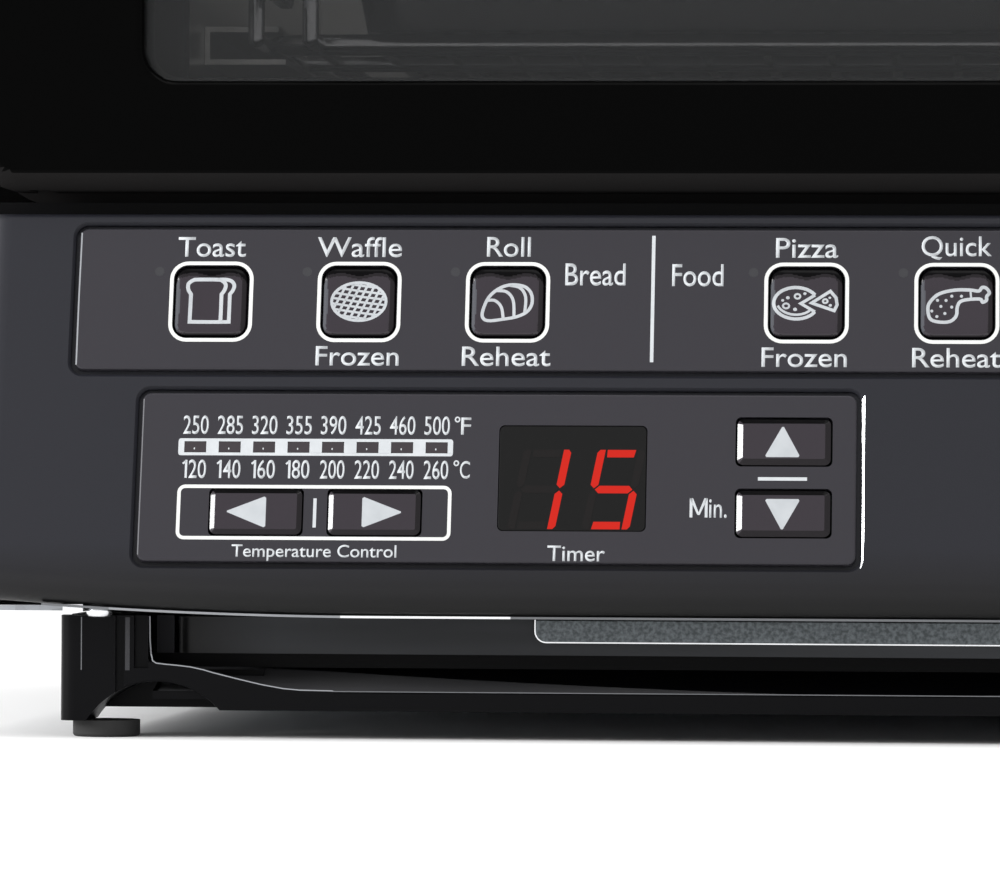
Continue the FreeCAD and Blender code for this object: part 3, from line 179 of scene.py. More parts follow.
# ------------------------------------------------------------ one look for each material slot
LOOK = {
    "shell_enamel": grain(principled("shell_enamel", (0.012, 0.012, 0.014), 0.38, 0.0, 0.3), 900, 0.12),
    "galvanised_steel": grain(
        mottle(
            principled("galvanised_steel", (0.4, 0.42, 0.44), 0.38, 1.0),
            (0.30, 0.31, 0.33), (0.46, 0.48, 0.51), 260, cells=True,
        ),
        1400, 0.15,
    ),
    "reflector_steel": grain(
        principled("reflector_steel", (0.56, 0.55, 0.53), 0.3, 1.0), 300, 0.1, stretch=(1, 6, 1)
    ),
    "black_plastic": grain(principled("black_plastic", (0.0024, 0.0024, 0.0030), 0.3, 0.0, 0.07), 2200, 0.1),
    # painted shade: darker towards the lip, between these two heights
    "fascia_plastic": grain(
        fade_down(
            principled("fascia_plastic", (0.019, 0.020, 0.026), 0.42, 0.0, 0.25),
            0.022, 0.036,
            (
                (0.1, (0.0015, 0.0015, 0.0015)),
                (0.42, (0.0072, 0.0070, 0.0085)),
                (0.9, (0.0122, 0.0126, 0.0172)),
            ),
        ),
        3200, 0.16,
    ),
    "plate_plastic": grain(principled("plate_plastic", (0.0255, 0.024, 0.0295), 0.34, 0.0, 0.25), 2600, 0.08),
    "key_plastic": grain(principled("key_plastic", (0.015, 0.010, 0.016), 0.14), 700, 0.02),
    "start_key_plastic": grain(principled("start_key_plastic", (0.015, 0.010, 0.016), 0.14), 700, 0.02),
    "feet_rubber": grain(principled("feet_rubber", (0.012, 0.012, 0.012), 0.7), 1500, 0.4),
    "quartz": clear_glass("quartz", (0.80, 0.80, 0.78), 0.12, 0.35),
    "filament": grain(principled("filament", (0.20, 0.18, 0.16), 0.5, 0.8), 1200, 0.3),
    "ceramic": grain(principled("ceramic", (0.66, 0.62, 0.55), 0.7), 500, 0.2),
    "chromed_wire": mottle(
        principled("chromed_wire", (0.55, 0.55, 0.56), 0.2, 1.0), 0.14, 0.26, 60, "Roughness"
    ),
    "tray_enamel": grain(principled("tray_enamel", (0.010, 0.010, 0.011), 0.22), 160, 0.08, 0.0003),
    "crumb_tray_steel": grain(
        mottle(
            principled("crumb_tray_steel", (0.02, 0.021, 0.024), 0.4, 0.5),
            (0.012, 0.013, 0.015), (0.028, 0.030, 0.034), 40, stretch=(0.2, 1, 3),
        ),
        700, 0.1,
    ),
    "door_plastic": grain(principled("door_plastic", (0.0008, 0.0008, 0.0008), 0.16, 0.0, 0.025), 600, 0.04),
    "pane": clear_glass("pane", (0.010, 0.011, 0.012), 0.03, 0.42),
    "handle_silver": grain(principled("handle_silver", (0.34, 0.34, 0.35), 0.3, 0.7), 1600, 0.08),
    "window_smoke": grain(principled("window_smoke", (0.0072, 0.0072, 0.0072), 0.3, 0.0, 0.12), 900, 0.03),
    "module_case": grain(principled("module_case", (0.01, 0.01, 0.01), 0.5), 900, 0.1),
    "lamp_lens": grain(principled("lamp_lens", (0.036, 0.030, 0.034), 0.3, 0.0, 0.25), 900, 0.05),
    "board_green": mottle(
        principled("board_green", (0.03, 0.12, 0.06), 0.4), (0.02, 0.09, 0.04), (0.04, 0.15, 0.08), 90
    ),
    "switch_black": grain(principled("switch_black", (0.02, 0.02, 0.02), 0.5), 900, 0.1),
    "cable_grey": grain(principled("cable_grey", (0.3, 0.3, 0.31), 0.5), 600, 0.1, stretch=(1, 1, 8)),
}
# the tray's front falls into the shade of the mouth at both ends
fade_ends(LOOK["crumb_tray_steel"], 0.109, 0.124, (0.002, 0.002, 0.0025))

# ------------------------------------------------------------ looks of the printed and added pieces, among them painted highlights and shades
INK = mottle(
    principled("label_ink", (0.50, 0.52, 0.54), 0.5, 0.0, 0.2), (0.48, 0.50, 0.52), (0.52, 0.54, 0.56), 300
)
KEY_INK = mottle(
    principled("key_ink", (0.42, 0.44, 0.46), 0.5, 0.0, 0.2), (0.40, 0.42, 0.44), (0.44, 0.46, 0.48), 300
)
OUTLINE = mottle(
    principled("outline_ink", (0.66, 0.67, 0.65), 0.45, 0.0, 0.2), (0.64, 0.65, 0.63), (0.68, 0.69, 0.67), 300
)
LIT = grain(
    principled(
        "lit_segment", (0.04, 0.004, 0.003), 0.4, 0.0, 0.12,
        Emission_Color=(0.62, 0.013, 0.005, 1), Emission_Strength=1.0,
    ),
    900, 0.02,
)
UNLIT = grain(principled("unlit_segment", (0.0088, 0.0078, 0.0078), 0.4, 0.0, 0.12), 900, 0.02)
SHADE = grain(principled("key_shade", (0.0016, 0.0014, 0.0018), 0.2, 0.0, 0.06), 700, 0.02)
HALF_SHADE = grain(principled("key_half_shade", (0.010, 0.008, 0.010), 0.2, 0.0, 0.2), 700, 0.02)
# bright steel for the lip's screws and clips, also used for painted highlights on thin strips
BRIGHT_STEEL_AND_HIGHLIGHT = mottle(principled("bright_steel_and_highlight", (0.85, 0.86, 0.88), 0.25, 1.0), 0.2, 0.32, 80, "Roughness")
SHEEN = grain(principled("key_sheen", (0.066, 0.068, 0.078), 0.55, 0.0, 0.1), 700, 0.02)
# painted shade: the dark reveal beside the tray mouth
REVEAL_SHADE = grain(principled("mouth_reveal_shade", (0.010, 0.010, 0.012), 0.5, 0.0, 0.1), 1200, 0.1)
APRON = mottle(
    principled("apron_sheen", (0.10, 0.10, 0.105), 0.5, 0.0, 0.1),
    (0.085, 0.085, 0.09), (0.115, 0.115, 0.12), 30,
)
# painted shade: a dull dark look for the door's underside and the front frame
UNDERSIDE_SHADE = grain(principled("door_underside_shade", (0.011, 0.0105, 0.0105), 0.6, 0.0, 0.0), 600, 0.04)
# painted highlights on edges, pale and soft
PALE_HIGHLIGHT = mottle(principled("pale_highlight", (0.30, 0.31, 0.33), 0.35, 0.3), 0.3, 0.42, 80, "Roughness")
SOFT_HIGHLIGHT = grain(principled("soft_highlight", (0.16, 0.16, 0.17), 0.4, 0.0, 0.2), 700, 0.02)
SPOT = grain(principled("lamp_spot", (0.034, 0.034, 0.038), 0.4, 0.0, 0.25), 900, 0.05)
# painted highlights on edges, dim
DIM_HIGHLIGHT = mottle(principled("dim_highlight", (0.16, 0.165, 0.175), 0.35, 0.6), 0.3, 0.42, 80, "Roughness")
TAB = grain(
    mottle(
        principled("tab_steel", (0.10, 0.11, 0.12), 0.42, 0.9),
        (0.065, 0.073, 0.077), (0.135, 0.150, 0.160), 1500,
    ),
    1800, 0.25,
)

for row in frame["record"]["subparts"]:
    mesh = NODES[row["node"]].data
    mesh.materials.clear()
    mesh.materials.append(LOOK[row["material_slot"]])
NODES["crumb_tray_pull"].data.materials[0] = TAB
# painted shade: the front frame, seen in the gap above the fascia, takes the dull dark underside look
NODES["front_frame"].data.materials[0] = UNDERSIDE_SHADE

# painted shade: the door's underside stays dull and dark, so that it doesn't mirror the pale floor
FACES_DOWN = -0.12  # a face looks down where its normal's upward part is less than this
for row in frame["record"]["subparts"]:
    if row["material_slot"] == "door_plastic":
        mesh = NODES[row["node"]].data
        mesh.materials.append(UNDERSIDE_SHADE)
        for poly in mesh.polygons:
            if poly.normal.z < FACES_DOWN:
                poly.material_index = 1


# ------------------------------------------------------------ mesh builders
SAME_PLACE = 1e-7  # vertices nearer than this, in metres, are one


def thicken(made, depth):
    """Turns a sheet into a thin closed body that reaches depth millimetres behind it."""
    joined = bmesh.new()
    joined.from_mesh(made.data)
    bmesh.ops.remove_doubles(joined, verts=joined.verts, dist=SAME_PLACE)
    bmesh.ops.recalc_face_normals(joined, faces=joined.faces)
    toward_front = sum((face.normal.y * face.calc_area() for face in joined.faces), 0.0)
    if toward_front > 0:
        bmesh.ops.reverse_faces(joined, faces=joined.faces)
    joined.to_mesh(made.data)
    joined.free()
    depth_step = made.modifiers.new("depth", "SOLIDIFY")
    depth_step.thickness = depth * MM
    depth_step.offset = -1.0


def piece(name, verts, faces, mat, body, smooth=False, depth=0.0):
    """A mesh that rides on a body of the part. With a depth, it is a thickened sheet."""
    mesh = bpy.data.meshes.new(name)
    mesh.from_pydata([tuple(v) for v in verts], [], faces)
    mesh.materials.append(mat)
    mesh.update()
    if smooth:
        mesh.shade_smooth()
    made = bpy.data.objects.new(name, mesh)
    bpy.context.scene.collection.objects.link(made)
    if depth:
        thicken(made, depth)
    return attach(made, body)


def offset_sides(points, half, closed):
    """The left and right edges of a flat stroke through 2-D points, mitred at its corners."""
    left, right = [], []
    count = len(points)
    for i, p in enumerate(points):
        before = points[i - 1] if closed or i else p
        after = points[(i + 1) % count] if closed or i < count - 1 else p
        a = (p[0] - before[0], p[1] - before[1])
        b = (after[0] - p[0], after[1] - p[1])
        a_len, b_len = math.hypot(*a) or 1, math.hypot(*b) or 1
        n = (-a[1] / a_len - b[1] / b_len, a[0] / a_len + b[0] / b_len)
        size = math.hypot(*n) or 1
        n = (n[0] / size, n[1] / size)
        if before != p and after != p:
            cosine = abs(n[0] * -b[1] / b_len + n[1] * b[0] / b_len)
            reach = half / max(cosine, 0.5)
        else:
            reach = half
        left.append((p[0] + n[0] * reach, p[1] + n[1] * reach))
        right.append((p[0] - n[0] * reach, p[1] - n[1] * reach))
    return left, right


def dense(points, closed, step):
    """Adds points along a path so that no stretch is longer than step."""
    out = []
    for i in range(len(points) if closed else len(points) - 1):
        a, b = points[i], points[(i + 1) % len(points)]
        parts = max(1, math.ceil(math.hypot(b[0] - a[0], b[1] - a[1]) / step))
        out += [(a[0] + (b[0] - a[0]) * k / parts, a[1] + (b[1] - a[1]) * k / parts) for k in range(parts)]
    return out if closed else out + [points[-1]]


class Print:
    """Flat shapes gathered into one mesh: ink, and also painted highlights and shades. put(x, y) gives the
    place of a 2-D point.
    """

    depth = 0.04  # how far each shape reaches behind its face, in millimetres

    def __init__(self, put):
        self.put, self.verts, self.faces = put, [], []

    def quad(self, *corners):
        """One flat face, of four corners or of any number."""
        start = len(self.verts)
        self.verts += [self.put(*c) for c in corners]
        self.faces.append(tuple(range(start, start + len(corners))))

    def line(self, points, width, closed=False, step=None):
        """A stroke of even width along a path."""
        points = dense(points, closed, step) if step else points
        left, right = offset_sides(points, width / 2, closed)
        last = len(points) if closed else len(points) - 1
        for i in range(last):
            j = (i + 1) % len(points)
            self.quad(right[i], right[j], left[j], left[i])

    def fan(self, points):
        """A filled outline, as triangles round its middle."""
        middle = (sum(p[0] for p in points) / len(points), sum(p[1] for p in points) / len(points))
        for i, p in enumerate(points):
            self.quad(middle, p, points[(i + 1) % len(points)])

    def done(self, name, mat, body):
        """Makes the piece from what was gathered."""
        return piece(name, self.verts, self.faces, mat, body, depth=self.depth)


def rounded_rect(cx, cy, width, height, r, steps=6):
    """The outline of a rectangle whose corners are round."""
    points = []
    for sx, sy, start in ((1, 1, 0), (-1, 1, 90), (-1, -1, 180), (1, -1, 270)):
        for k in range(steps + 1):
            a = math.radians(start + 90 * k / steps)
            x, y = cx + sx * (width / 2 - r), cy + sy * (height / 2 - r)
            points.append((x + r * math.cos(a), y + r * math.sin(a)))
    return points


def oval(cx, cy, rx, ry, start=0.0, stop=360.0, steps=28):
    """An oval, or the arc of one between two angles in degrees."""
    points = []
    for k in range(steps + (0 if stop - start >= 360 else 1)):
        a = math.radians(start + (stop - start) * k / steps)
        points.append((cx + rx * math.cos(a), cy + ry * math.sin(a)))
    return points


def smooth_path(points, closed=False, steps=5):
    """A Catmull-Rom curve through 2-D points."""
    count, out = len(points), []
    for i in range(count if closed else count - 1):
        if closed:
            p = [points[(i + k) % count] for k in (-1, 0, 1, 2)]
        else:
            p = [points[min(max(i + k, 0), count - 1)] for k in (-1, 0, 1, 2)]
        for k in range(steps):
            t = k / steps
            out.append(tuple(
                0.5 * (2 * p[1][c] + (p[2][c] - p[0][c]) * t
                       + (2 * p[0][c] - 5 * p[1][c] + 4 * p[2][c] - p[3][c]) * t * t
                       + (3 * p[1][c] - p[0][c] - 3 * p[2][c] + p[3][c]) * t**3)
                for c in (0, 1)))
    return out if closed else out + [points[-1]]


# ------------------------------------------------------------ lettering
def glyph_mesh(text, weight):
    """The flat mesh of some letters in Blender's own typeface, weight wider all round."""
    curve = bpy.data.curves.new("lettering", "FONT")
    curve.body = text
    curve.size = 1.0
    curve.offset = weight
    curve.resolution_u = 5
    letters = bpy.data.objects.new("lettering", curve)
    bpy.context.scene.collection.objects.link(letters)
    bpy.context.view_layer.update()
    mesh = bpy.data.meshes.new_from_object(letters.evaluated_get(bpy.context.evaluated_depsgraph_get()))
    bpy.data.objects.remove(letters)
    return mesh


CAPITAL_HIGH = max(v.co.y for v in glyph_mesh("H", 0.0).vertices)


def label(name, text, u, width, base, height, weight=0.006):
    """Lettering centred on u, of a given width, with its capitals height high above base."""
    mesh = glyph_mesh(text, weight)
    xs = [v.co.x for v in mesh.vertices]
    low, high = min(xs), max(xs)
    sx, sy = width / (high - low), height / CAPITAL_HIGH
    for vert in mesh.vertices:
        vert.co = on_face(u - width / 2 + (vert.co.x - low) * sx, base + vert.co.y * sy)
    mesh.materials.clear()
    mesh.materials.append(INK)
    made = bpy.data.objects.new(name, mesh)
    bpy.context.scene.collection.objects.link(made)
    thicken(made, Print.depth)
    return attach(made, "cabinet")


# feet and heights of the words above and below the preset keys
ABOVE, BELOW, UPPER_HIGH, LOWER_HIGH = 66.0, 45.85, 3.6, 3.5
# name, text, middle, width, foot and height of the capitals
WORDS = (
    ("toast_label", "Toast", PRESET_U[0] - 0.15, 12.15, ABOVE, UPPER_HIGH),
    ("waffle_label", "Waffle", PRESET_U[1] - 0.15, 15.1, ABOVE, UPPER_HIGH),
    ("roll_label", "Roll", PRESET_U[2], 7.8, ABOVE + 0.1, UPPER_HIGH),
    ("pizza_label", "Pizza", PRESET_U[3], 11.0, ABOVE, UPPER_HIGH),
    ("quick_label", "Quick", PRESET_U[4] - 0.05, 12.4, ABOVE + 0.35, UPPER_HIGH),
    ("potato_label", "Potato", PRESET_U[5], 14.0, ABOVE, UPPER_HIGH),
    ("waffle_frozen_label", "Frozen", PRESET_U[1], 14.8, BELOW, LOWER_HIGH),
    ("roll_reheat_label", "Reheat", PRESET_U[2], 15.7, BELOW, LOWER_HIGH),
    ("pizza_frozen_label", "Frozen", PRESET_U[3] - 0.3, 15.0, BELOW, LOWER_HIGH),
    ("quick_reheat_label", "Reheat", PRESET_U[4], 15.6, BELOW, LOWER_HIGH),
    ("potato_frozen_label", "Frozen", PRESET_U[5], 15.0, BELOW, LOWER_HIGH),
    ("bread_label", "Bread", -52.05, 10.7, 60.8, 4.0),
    ("food_label", "Food", -33.9, 9.1, 60.7, 4.0),
    ("temperature_label", "Temperature Control", -100.5, 29.1, 10.75, 2.2),
    ("timer_label", "Timer", -54.4, 10.1, 10.3, 2.75),
    ("minutes_label", "in.", -29.7, 3.1, 18.3, 3.5),
    ("power_label", "Power", START_U, 11.5, 65.2, 3.2),
    ("start_label", "Start / Stop", START_U, 22.0, 40.2, 3.2),
)
for word in WORDS:
    label(*word)

# the capital of the minutes label: two uprights and two slanted strokes between them
M_FOOT, M_TOP, M_MIDDLE = 18.3, 21.8, 18.75
capital = Print(on_face)
for u in (-34.42, -31.77):
    capital.line([(u, M_FOOT), (u, M_TOP)], 0.5)
capital.quad((-34.68, M_TOP), (-33.3, M_MIDDLE), (-32.9, M_MIDDLE), (-34.1, M_TOP))
capital.quad((-32.1, M_TOP), (-33.3, M_MIDDLE), (-32.9, M_MIDDLE), (-31.52, M_TOP))
capital.done("minutes_letter", INK, "cabinet")

# the temperature scale: Fahrenheit above the lamps and Celsius below them
LAMP_FIRST_U, LAMP_PITCH, LAMP_V = -122.2, 6.114, 30.75
LAMP_U = [LAMP_FIRST_U + LAMP_PITCH * k for k in range(8)]
FAHRENHEIT = (250, 285, 320, 355, 390, 425, 460, 500)
CELSIUS = (120, 140, 160, 180, 200, 220, 240, 260)
FAHRENHEIT_FOOT, CELSIUS_FOOT, FIGURE_HIGH, FIGURE_WEIGHT = 33.15, 25.05, 3.3, 0.004
for u, upper, lower in zip(LAMP_U, FAHRENHEIT, CELSIUS):
    label(f"fahrenheit_{upper}", str(upper), u, 4.5, FAHRENHEIT_FOOT, FIGURE_HIGH, FIGURE_WEIGHT)
    if lower < 200:
        # the printed 1 is narrower than the typeface's, so two strokes draw it
        label(f"celsius_{lower}", str(lower - 100), u + 0.53, 3.1, CELSIUS_FOOT, FIGURE_HIGH, FIGURE_WEIGHT)
        one, top = Print(on_face), CELSIUS_FOOT + FIGURE_HIGH
        one.line([(u - 1.5, CELSIUS_FOOT), (u - 1.5, top)], 0.4)
        one.line([(u - 1.52, top - 0.2), (u - 2.1, top - 0.7)], 0.34)
        one.done(f"celsius_{lower}_one", INK, "cabinet")
    else:
        label(f"celsius_{lower}", str(lower), u, 4.35, CELSIUS_FOOT, FIGURE_HIGH, FIGURE_WEIGHT)
for name, letter, base in (("fahrenheit_sign", "F", 33.2), ("celsius_sign", "C", 25.2)):
    label(name, letter, -74.3, 1.75, base, 3.1, FIGURE_WEIGHT)
    degree = Print(on_face)
    degree.line(oval(-75.85, base + 2.75, 0.38, 0.42, steps=14), 0.24, True)
    degree.done(name + "_degree", INK, "cabinet")

# ------------------------------------------------------------ printed lines of the plates, and painted highlights on them
# outlines round the preset keys and round the pair of temperature keys
outlines = Print(on_face)
for u in PRESET_U:
    outlines.line(rounded_rect(u, PRESET_V, 14.3, 14.25, 2.95, 8), 0.66, True)
outlines.line(rounded_rect(-100.8, 18.83, 47.9, 9.37, 1.1), 0.62, True)
outlines.done("printed_outlines", OUTLINE, "cabinet")

# dividers: between bread and food, the timer keys, and the temperature keys
strokes = Print(on_face)
strokes.line([(-41.82, 46.6), (-41.82, 70.0)], 0.62)
strokes.line([(-22.8, 25.35), (-14.2, 25.35)], 0.62)
strokes.line([(-100.6, 16.1), (-100.6, 21.4)], 0.58)
strokes.done("printed_strokes", INK, "cabinet")

# the frame around the lamps: a rail above, a rail below, bars between, and four round corners
scale = Print(on_face)
LAMP_HALF_W, LAMP_HALF_H, RAIL, CORNER_X = 1.95, 1.02, 0.53, 0.4
left, right = LAMP_U[0] - LAMP_HALF_W - 1.05, LAMP_U[-1] + LAMP_HALF_W + 0.95
lamp_foot, lamp_top = LAMP_V - LAMP_HALF_H, LAMP_V + LAMP_HALF_H
rail_left, rail_right = left + CORNER_X, right - CORNER_X
for low, high in ((lamp_top, lamp_top + RAIL), (lamp_foot - RAIL, lamp_foot)):
    scale.quad((rail_left, low), (rail_right, low), (rail_right, high), (rail_left, high))
edges = [left] + [x for u in LAMP_U for x in (u - LAMP_HALF_W, u + LAMP_HALF_W)] + [right]
for a, b in zip(edges[::2], edges[1::2]):
    scale.quad((a, lamp_foot), (b, lamp_foot), (b, lamp_top), (a, lamp_top))
for x, side in ((left, 1), (right, -1)):
    for y, up in ((lamp_top, 1), (lamp_foot, -1)):
        corner = [(x + side * CORNER_X, y)]
        for a in (math.radians(step) for step in (0, 30, 60, 90)):
            corner.append((x + side * CORNER_X * (1 - math.cos(a)), y + up * RAIL * math.sin(a)))
        scale.quad(*(corner if side * up < 0 else corner[::-1]))
scale.done("temperature_scale", INK, "cabinet")

start_outline = Print(on_face)
start_outline.line(rounded_rect(START_U, START_V, 46.0, 23.6, 2.6), 0.7, True)
start_outline.done("start_key_outline", OUTLINE, "cabinet")

# a painted highlight: a speck of light in each temperature lamp
specks = Print(lambda x, y: on_face(x, y, PLATE_TOP + 0.03))
for u in LAMP_U:
    specks.fan(oval(u - 0.15, LAMP_V - 0.3, 0.12, 0.2, steps=8))
specks.done("lamp_specks", INK, "cabinet")

# the faint round lamp at the upper left of each preset key
spots = Print(lambda x, y: on_face(x, y, PLATE_TOP + 0.015))
for u in PRESET_U:
    spots.fan(oval(u - 9.4, PRESET_V + 5.6, 0.86, 0.86, steps=24))
spots.done("preset_lamp_spots", SPOT, "cabinet")

# a painted highlight on the right-hand rim of the timer recess; it widens upwards and curls in at its foot
RIM_U, RIM_W, RIM_SLOPE = -4.22, 0.1, 0.7
# height, width and how far in from RIM_U
RIM = (
    (9.3, 0.14, 0.5), (10.4, 0.24, 0.15), (14.0, 0.28, 0.0),
    (24.0, 0.31, 0.0), (34.0, 0.4, 0.0), (40.6, 0.46, 0.0),
)
rim_verts = []
for v, wide, inward in RIM:
    rim_verts.append(on_face(RIM_U - inward, v, RIM_W))
    rim_verts.append(on_face(RIM_U - wide - inward, v, RIM_W - RIM_SLOPE * wide))
rim_faces = [(2 * k - 2, 2 * k - 1, 2 * k + 1, 2 * k) for k in range(1, len(RIM))]
piece("timer_recess_highlight", rim_verts, rim_faces, BRIGHT_STEEL_AND_HIGHLIGHT, "cabinet", depth=0.08)

# painted highlights on the left-hand edges of the preset plate and the timer plate
preset_edge = Print(on_face)
preset_edge.line([(-144.1, 45.8), (-144.15, 58.0), (-144.1, 70.4)], 0.26)
preset_edge.done("preset_plate_edge", PALE_HIGHLIGHT, "cabinet")
timer_edge = Print(on_face)
timer_edge.line([(-131.65, 11.0), (-131.65, 39.5)], 0.2)
timer_edge.done("timer_plate_edge", SOFT_HIGHLIGHT, "cabinet")


# ------------------------------------------------------------ preset key tops
def ring_distance(x, y, half, r):
    """How far inside the rounded square a point is."""
    dx, dy = abs(x) - (half - r), abs(y) - (half - r)
    outside = math.hypot(max(dx, 0), max(dy, 0))
    return r - outside - min(max(dx, dy), 0.0)


# a preset key's cap: the width and fall of its round shoulder, and its dish
SHOULDER, DROP = 1.3, 0.7
DISH, DISH_R, DISH_BELOW = 0.3, 5.8, 0.6
CAP_TOP, CAP_R = 0.5, 2.3
SKIRT_W = -4.4  # how far down the shown key reaches into the fascia
PLAIN, DEEP, HALF, PALE = range(4)  # the looks on a key: its own, two shades and a sheen


def cap_height_at(x, y):
    """The cap's w at a spot, measured from the key's middle."""
    inside = max(ring_distance(x, y, PRESET_HALF, CAP_R), 0.0)
    t = min(inside / SHOULDER, 1.0)
    shoulder = DROP * (1 - math.sqrt(max(0.0, 1 - (1 - t) ** 2)))
    spread = max(0.0, 1 - (x * x + (y + DISH_BELOW) ** 2) / DISH_R**2)
    return CAP_TOP - shoulder - DISH * spread * spread


# how far the looks reach in from a cap's edges: the shade under its top ends in a wave
WAVE, WAVE_HIGH, HALF_WAVE, HALF_BAND = 1.95, 0.28, 3.4, 0.55
FOOT_DEEP, FOOT_HALF, RIGHT_HALF, LEFT_PALE, LEFT_BOW = 0.35, 0.6, 0.95, 0.75, 0.12


def cap_shade(x, y):
    """Which look a spot of the cap takes."""
    below_top = PRESET_HALF - y
    towards_corner = max(0.0, abs(x + 0.3) - 5.2)
    wave = WAVE + WAVE_HIGH * math.cos(x * math.pi / HALF_WAVE) + 0.9 * towards_corner
    if below_top < wave - HALF_BAND or y < FOOT_DEEP - PRESET_HALF:
        return DEEP
    if below_top < wave or x > PRESET_HALF - RIGHT_HALF or y < FOOT_HALF - PRESET_HALF:
        return HALF
    return PALE if x < LEFT_PALE + LEFT_BOW * math.cos(y * 0.5) - PRESET_HALF else PLAIN


SIDE_STEPS, BEND_STEPS = 26, 8  # points along a side and round a corner


def ring(half_x, half_y, r):
    """Points round a rectangle with rounded corners, from the foot of its right side."""
    points = []
    for turned in (0, 90, 180, 270):
        a, b = (half_x, half_y) if turned % 180 == 0 else (half_y, half_x)
        c, s = round(math.cos(math.radians(turned))), round(math.sin(math.radians(turned)))
        turn = [(a, -b + r + 2 * (b - r) * k / SIDE_STEPS) for k in range(SIDE_STEPS)]
        for angle in (math.radians(90 * k / BEND_STEPS) for k in range(BEND_STEPS)):
            turn.append((a - r + r * math.cos(angle), b - r + r * math.sin(angle)))
        points += [(x * c - y * s, x * s + y * c) for x, y in turn]
    return points


def key_top(name, u0, v0, loops, shade_of):
    """The shown body of a key: closed loops of (x, y, w) from its skirt to its middle."""
    n = len(loops[0])
    verts = [on_face(u0 + x, v0 + y, w) for loop in loops for x, y, w in loop]
    faces, shades = [], []
    for k in range(len(loops) - 1):
        for i in range(n):
            j = (i + 1) % n
            faces.append((k * n + i, k * n + j, (k + 1) * n + j, (k + 1) * n + i))
            corners = (loops[k][i], loops[k][j], loops[k + 1][j], loops[k + 1][i])
            shades.append(shade_of(k, sum(c[0] for c in corners) / 4, sum(c[1] for c in corners) / 4))
    verts.append(on_face(u0, v0, sum(p[2] for p in loops[-1]) / n))
    last = (len(loops) - 1) * n
    faces += [(last + i, last + (i + 1) % n, len(verts) - 1) for i in range(n)]
    faces.append(tuple(reversed(range(n))))
    shades += [PLAIN] * n + [DEEP]
    top = piece(name + "_key_top", verts, faces, LOOK["key_plastic"], name + "_button")
    for look in (SHADE, HALF_SHADE, SHEEN):
        top.data.materials.append(look)
    for poly, shade in zip(top.data.polygons, shades):
        poly.material_index = shade
    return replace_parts(top, name + "_key")


# how far in from the cap's edge its loops lie: close together on the shoulder, wider on the dish
INSETS = (
    [0.0, 0.02, 0.06, 0.12, 0.2, 0.3]
    + [0.3 + 0.2 * k for k in range(1, 12)]
    + [2.9, 3.4, 4.0, 4.6, 5.2, 5.8]
)


def preset_top(index, name):
    """A preset key: a square with a round shoulder and a dished top."""
    loops = [[(x, y, SKIRT_W) for x, y in ring(PRESET_HALF, PRESET_HALF, CAP_R)]]
    for inset in INSETS:
        half = PRESET_HALF - inset
        r = min(max(CAP_R - inset * 0.55, 0.3), half * 0.9)
        loops.append([(x, y, cap_height_at(x, y)) for x, y in ring(half, half, r)])
    made = key_top(name, PRESET_U[index], PRESET_V, loops, lambda k, x, y: cap_shade(x, y) if k else DEEP)
    made.data.shade_smooth()


# the flat keys: middle, size and width of the bevel
FLAT_KEYS = {
    "temperature_down": (TEMPERATURE_DOWN_U, TEMPERATURE_V, 16.2, 8.2, 0.85),
    "temperature_up": (TEMPERATURE_UP_U, TEMPERATURE_V, 16.2, 8.2, 0.85),
    "timer_up": (TIMER_U, TIMER_UP_V, 16.4, 8.4, 1.0),
    "timer_down": (TIMER_U, TIMER_DOWN_V, 16.4, 8.4, 1.0),
    "power": (START_U, POWER_V, 42.0, 15.0, 1.1),
    "start": (START_U, START_V, 42.0, 20.0, 1.1),
}
BEVEL_FALL = 0.62  # how much a bevel falls for its width


def flat_top(name):
    """A flat key with a bevel round its face."""
    u0, v0, width, height, bevel = FLAT_KEYS[name]
    a, b = width / 2, height / 2

    def shade_of(k, x, y):
        """Painted shade: dark sides, a plain face, and a bevel that is dark above and half dark right and
        below.
        """
        if k == 0:
            return DEEP
        if k > 2:
            return PLAIN
        to_left, to_right, to_top, to_foot = x + a, a - x, b - y, y + b
        nearest = min(to_left, to_right, to_top, to_foot)
        return PLAIN if nearest == to_left else DEEP if nearest == to_top else HALF

    fall = BEVEL_FALL * bevel
    levels = (
        (0.0, 1.15, SKIRT_W),
        (0.0, 1.15, KEY_TOP - fall),
        (bevel / 2, 0.7, KEY_TOP - fall / 2),
        (bevel, 0.3, KEY_TOP),
        (bevel + 0.8, 0.2, KEY_TOP),
    )
    loops = [[(x, y, w) for x, y in ring(a - inset, b - inset, r)] for inset, r, w in levels]
    key_top(name, u0, v0, loops, shade_of)


for name in FLAT_KEYS:
    flat_top(name)
for index, name in enumerate(("toast", "waffle", "roll", "pizza", "reheat", "potato")):
    preset_top(index, name)


# ------------------------------------------------------------ drawings on the preset keys
class Icon(Print):
    """Ink that follows the hollow of a preset key."""

    depth = 0.08
    above, step = 0.05, 0.35  # its height above the cap, and the longest straight stretch of a line

    def __init__(self, index):
        u0 = PRESET_U[index]
        super().__init__(lambda x, y: on_face(u0 + x, PRESET_V + y, cap_height_at(x, y) + self.above))

    def line(self, points, width, closed=False):
        super().line(points, width, closed, self.step)


# a slice of bread, with a second slice behind it
bread = Icon(0)
crust = [
    (-3.6, 1.3), (-4.1, 2.15), (-4.1, 3.2), (-3.3, 3.85), (-2.4, 4.0),
    (1.0, 4.0), (1.9, 3.8), (2.55, 3.1), (2.4, 2.15), (1.85, 1.3),
]
bread.line([(-3.65, -3.85)] + smooth_path(crust) + [(1.85, -3.85)], 0.68, True)
rear_crust = [(1.2, 4.0), (2.6, 4.0), (3.6, 3.7), (4.1, 2.95), (3.9, 2.05), (3.35, 1.3)]
bread.line(smooth_path(rear_crust) + [(3.35, -3.85), (1.85, -3.85)], 0.66)
bread.done("toast_icon", KEY_INK, "toast_button")

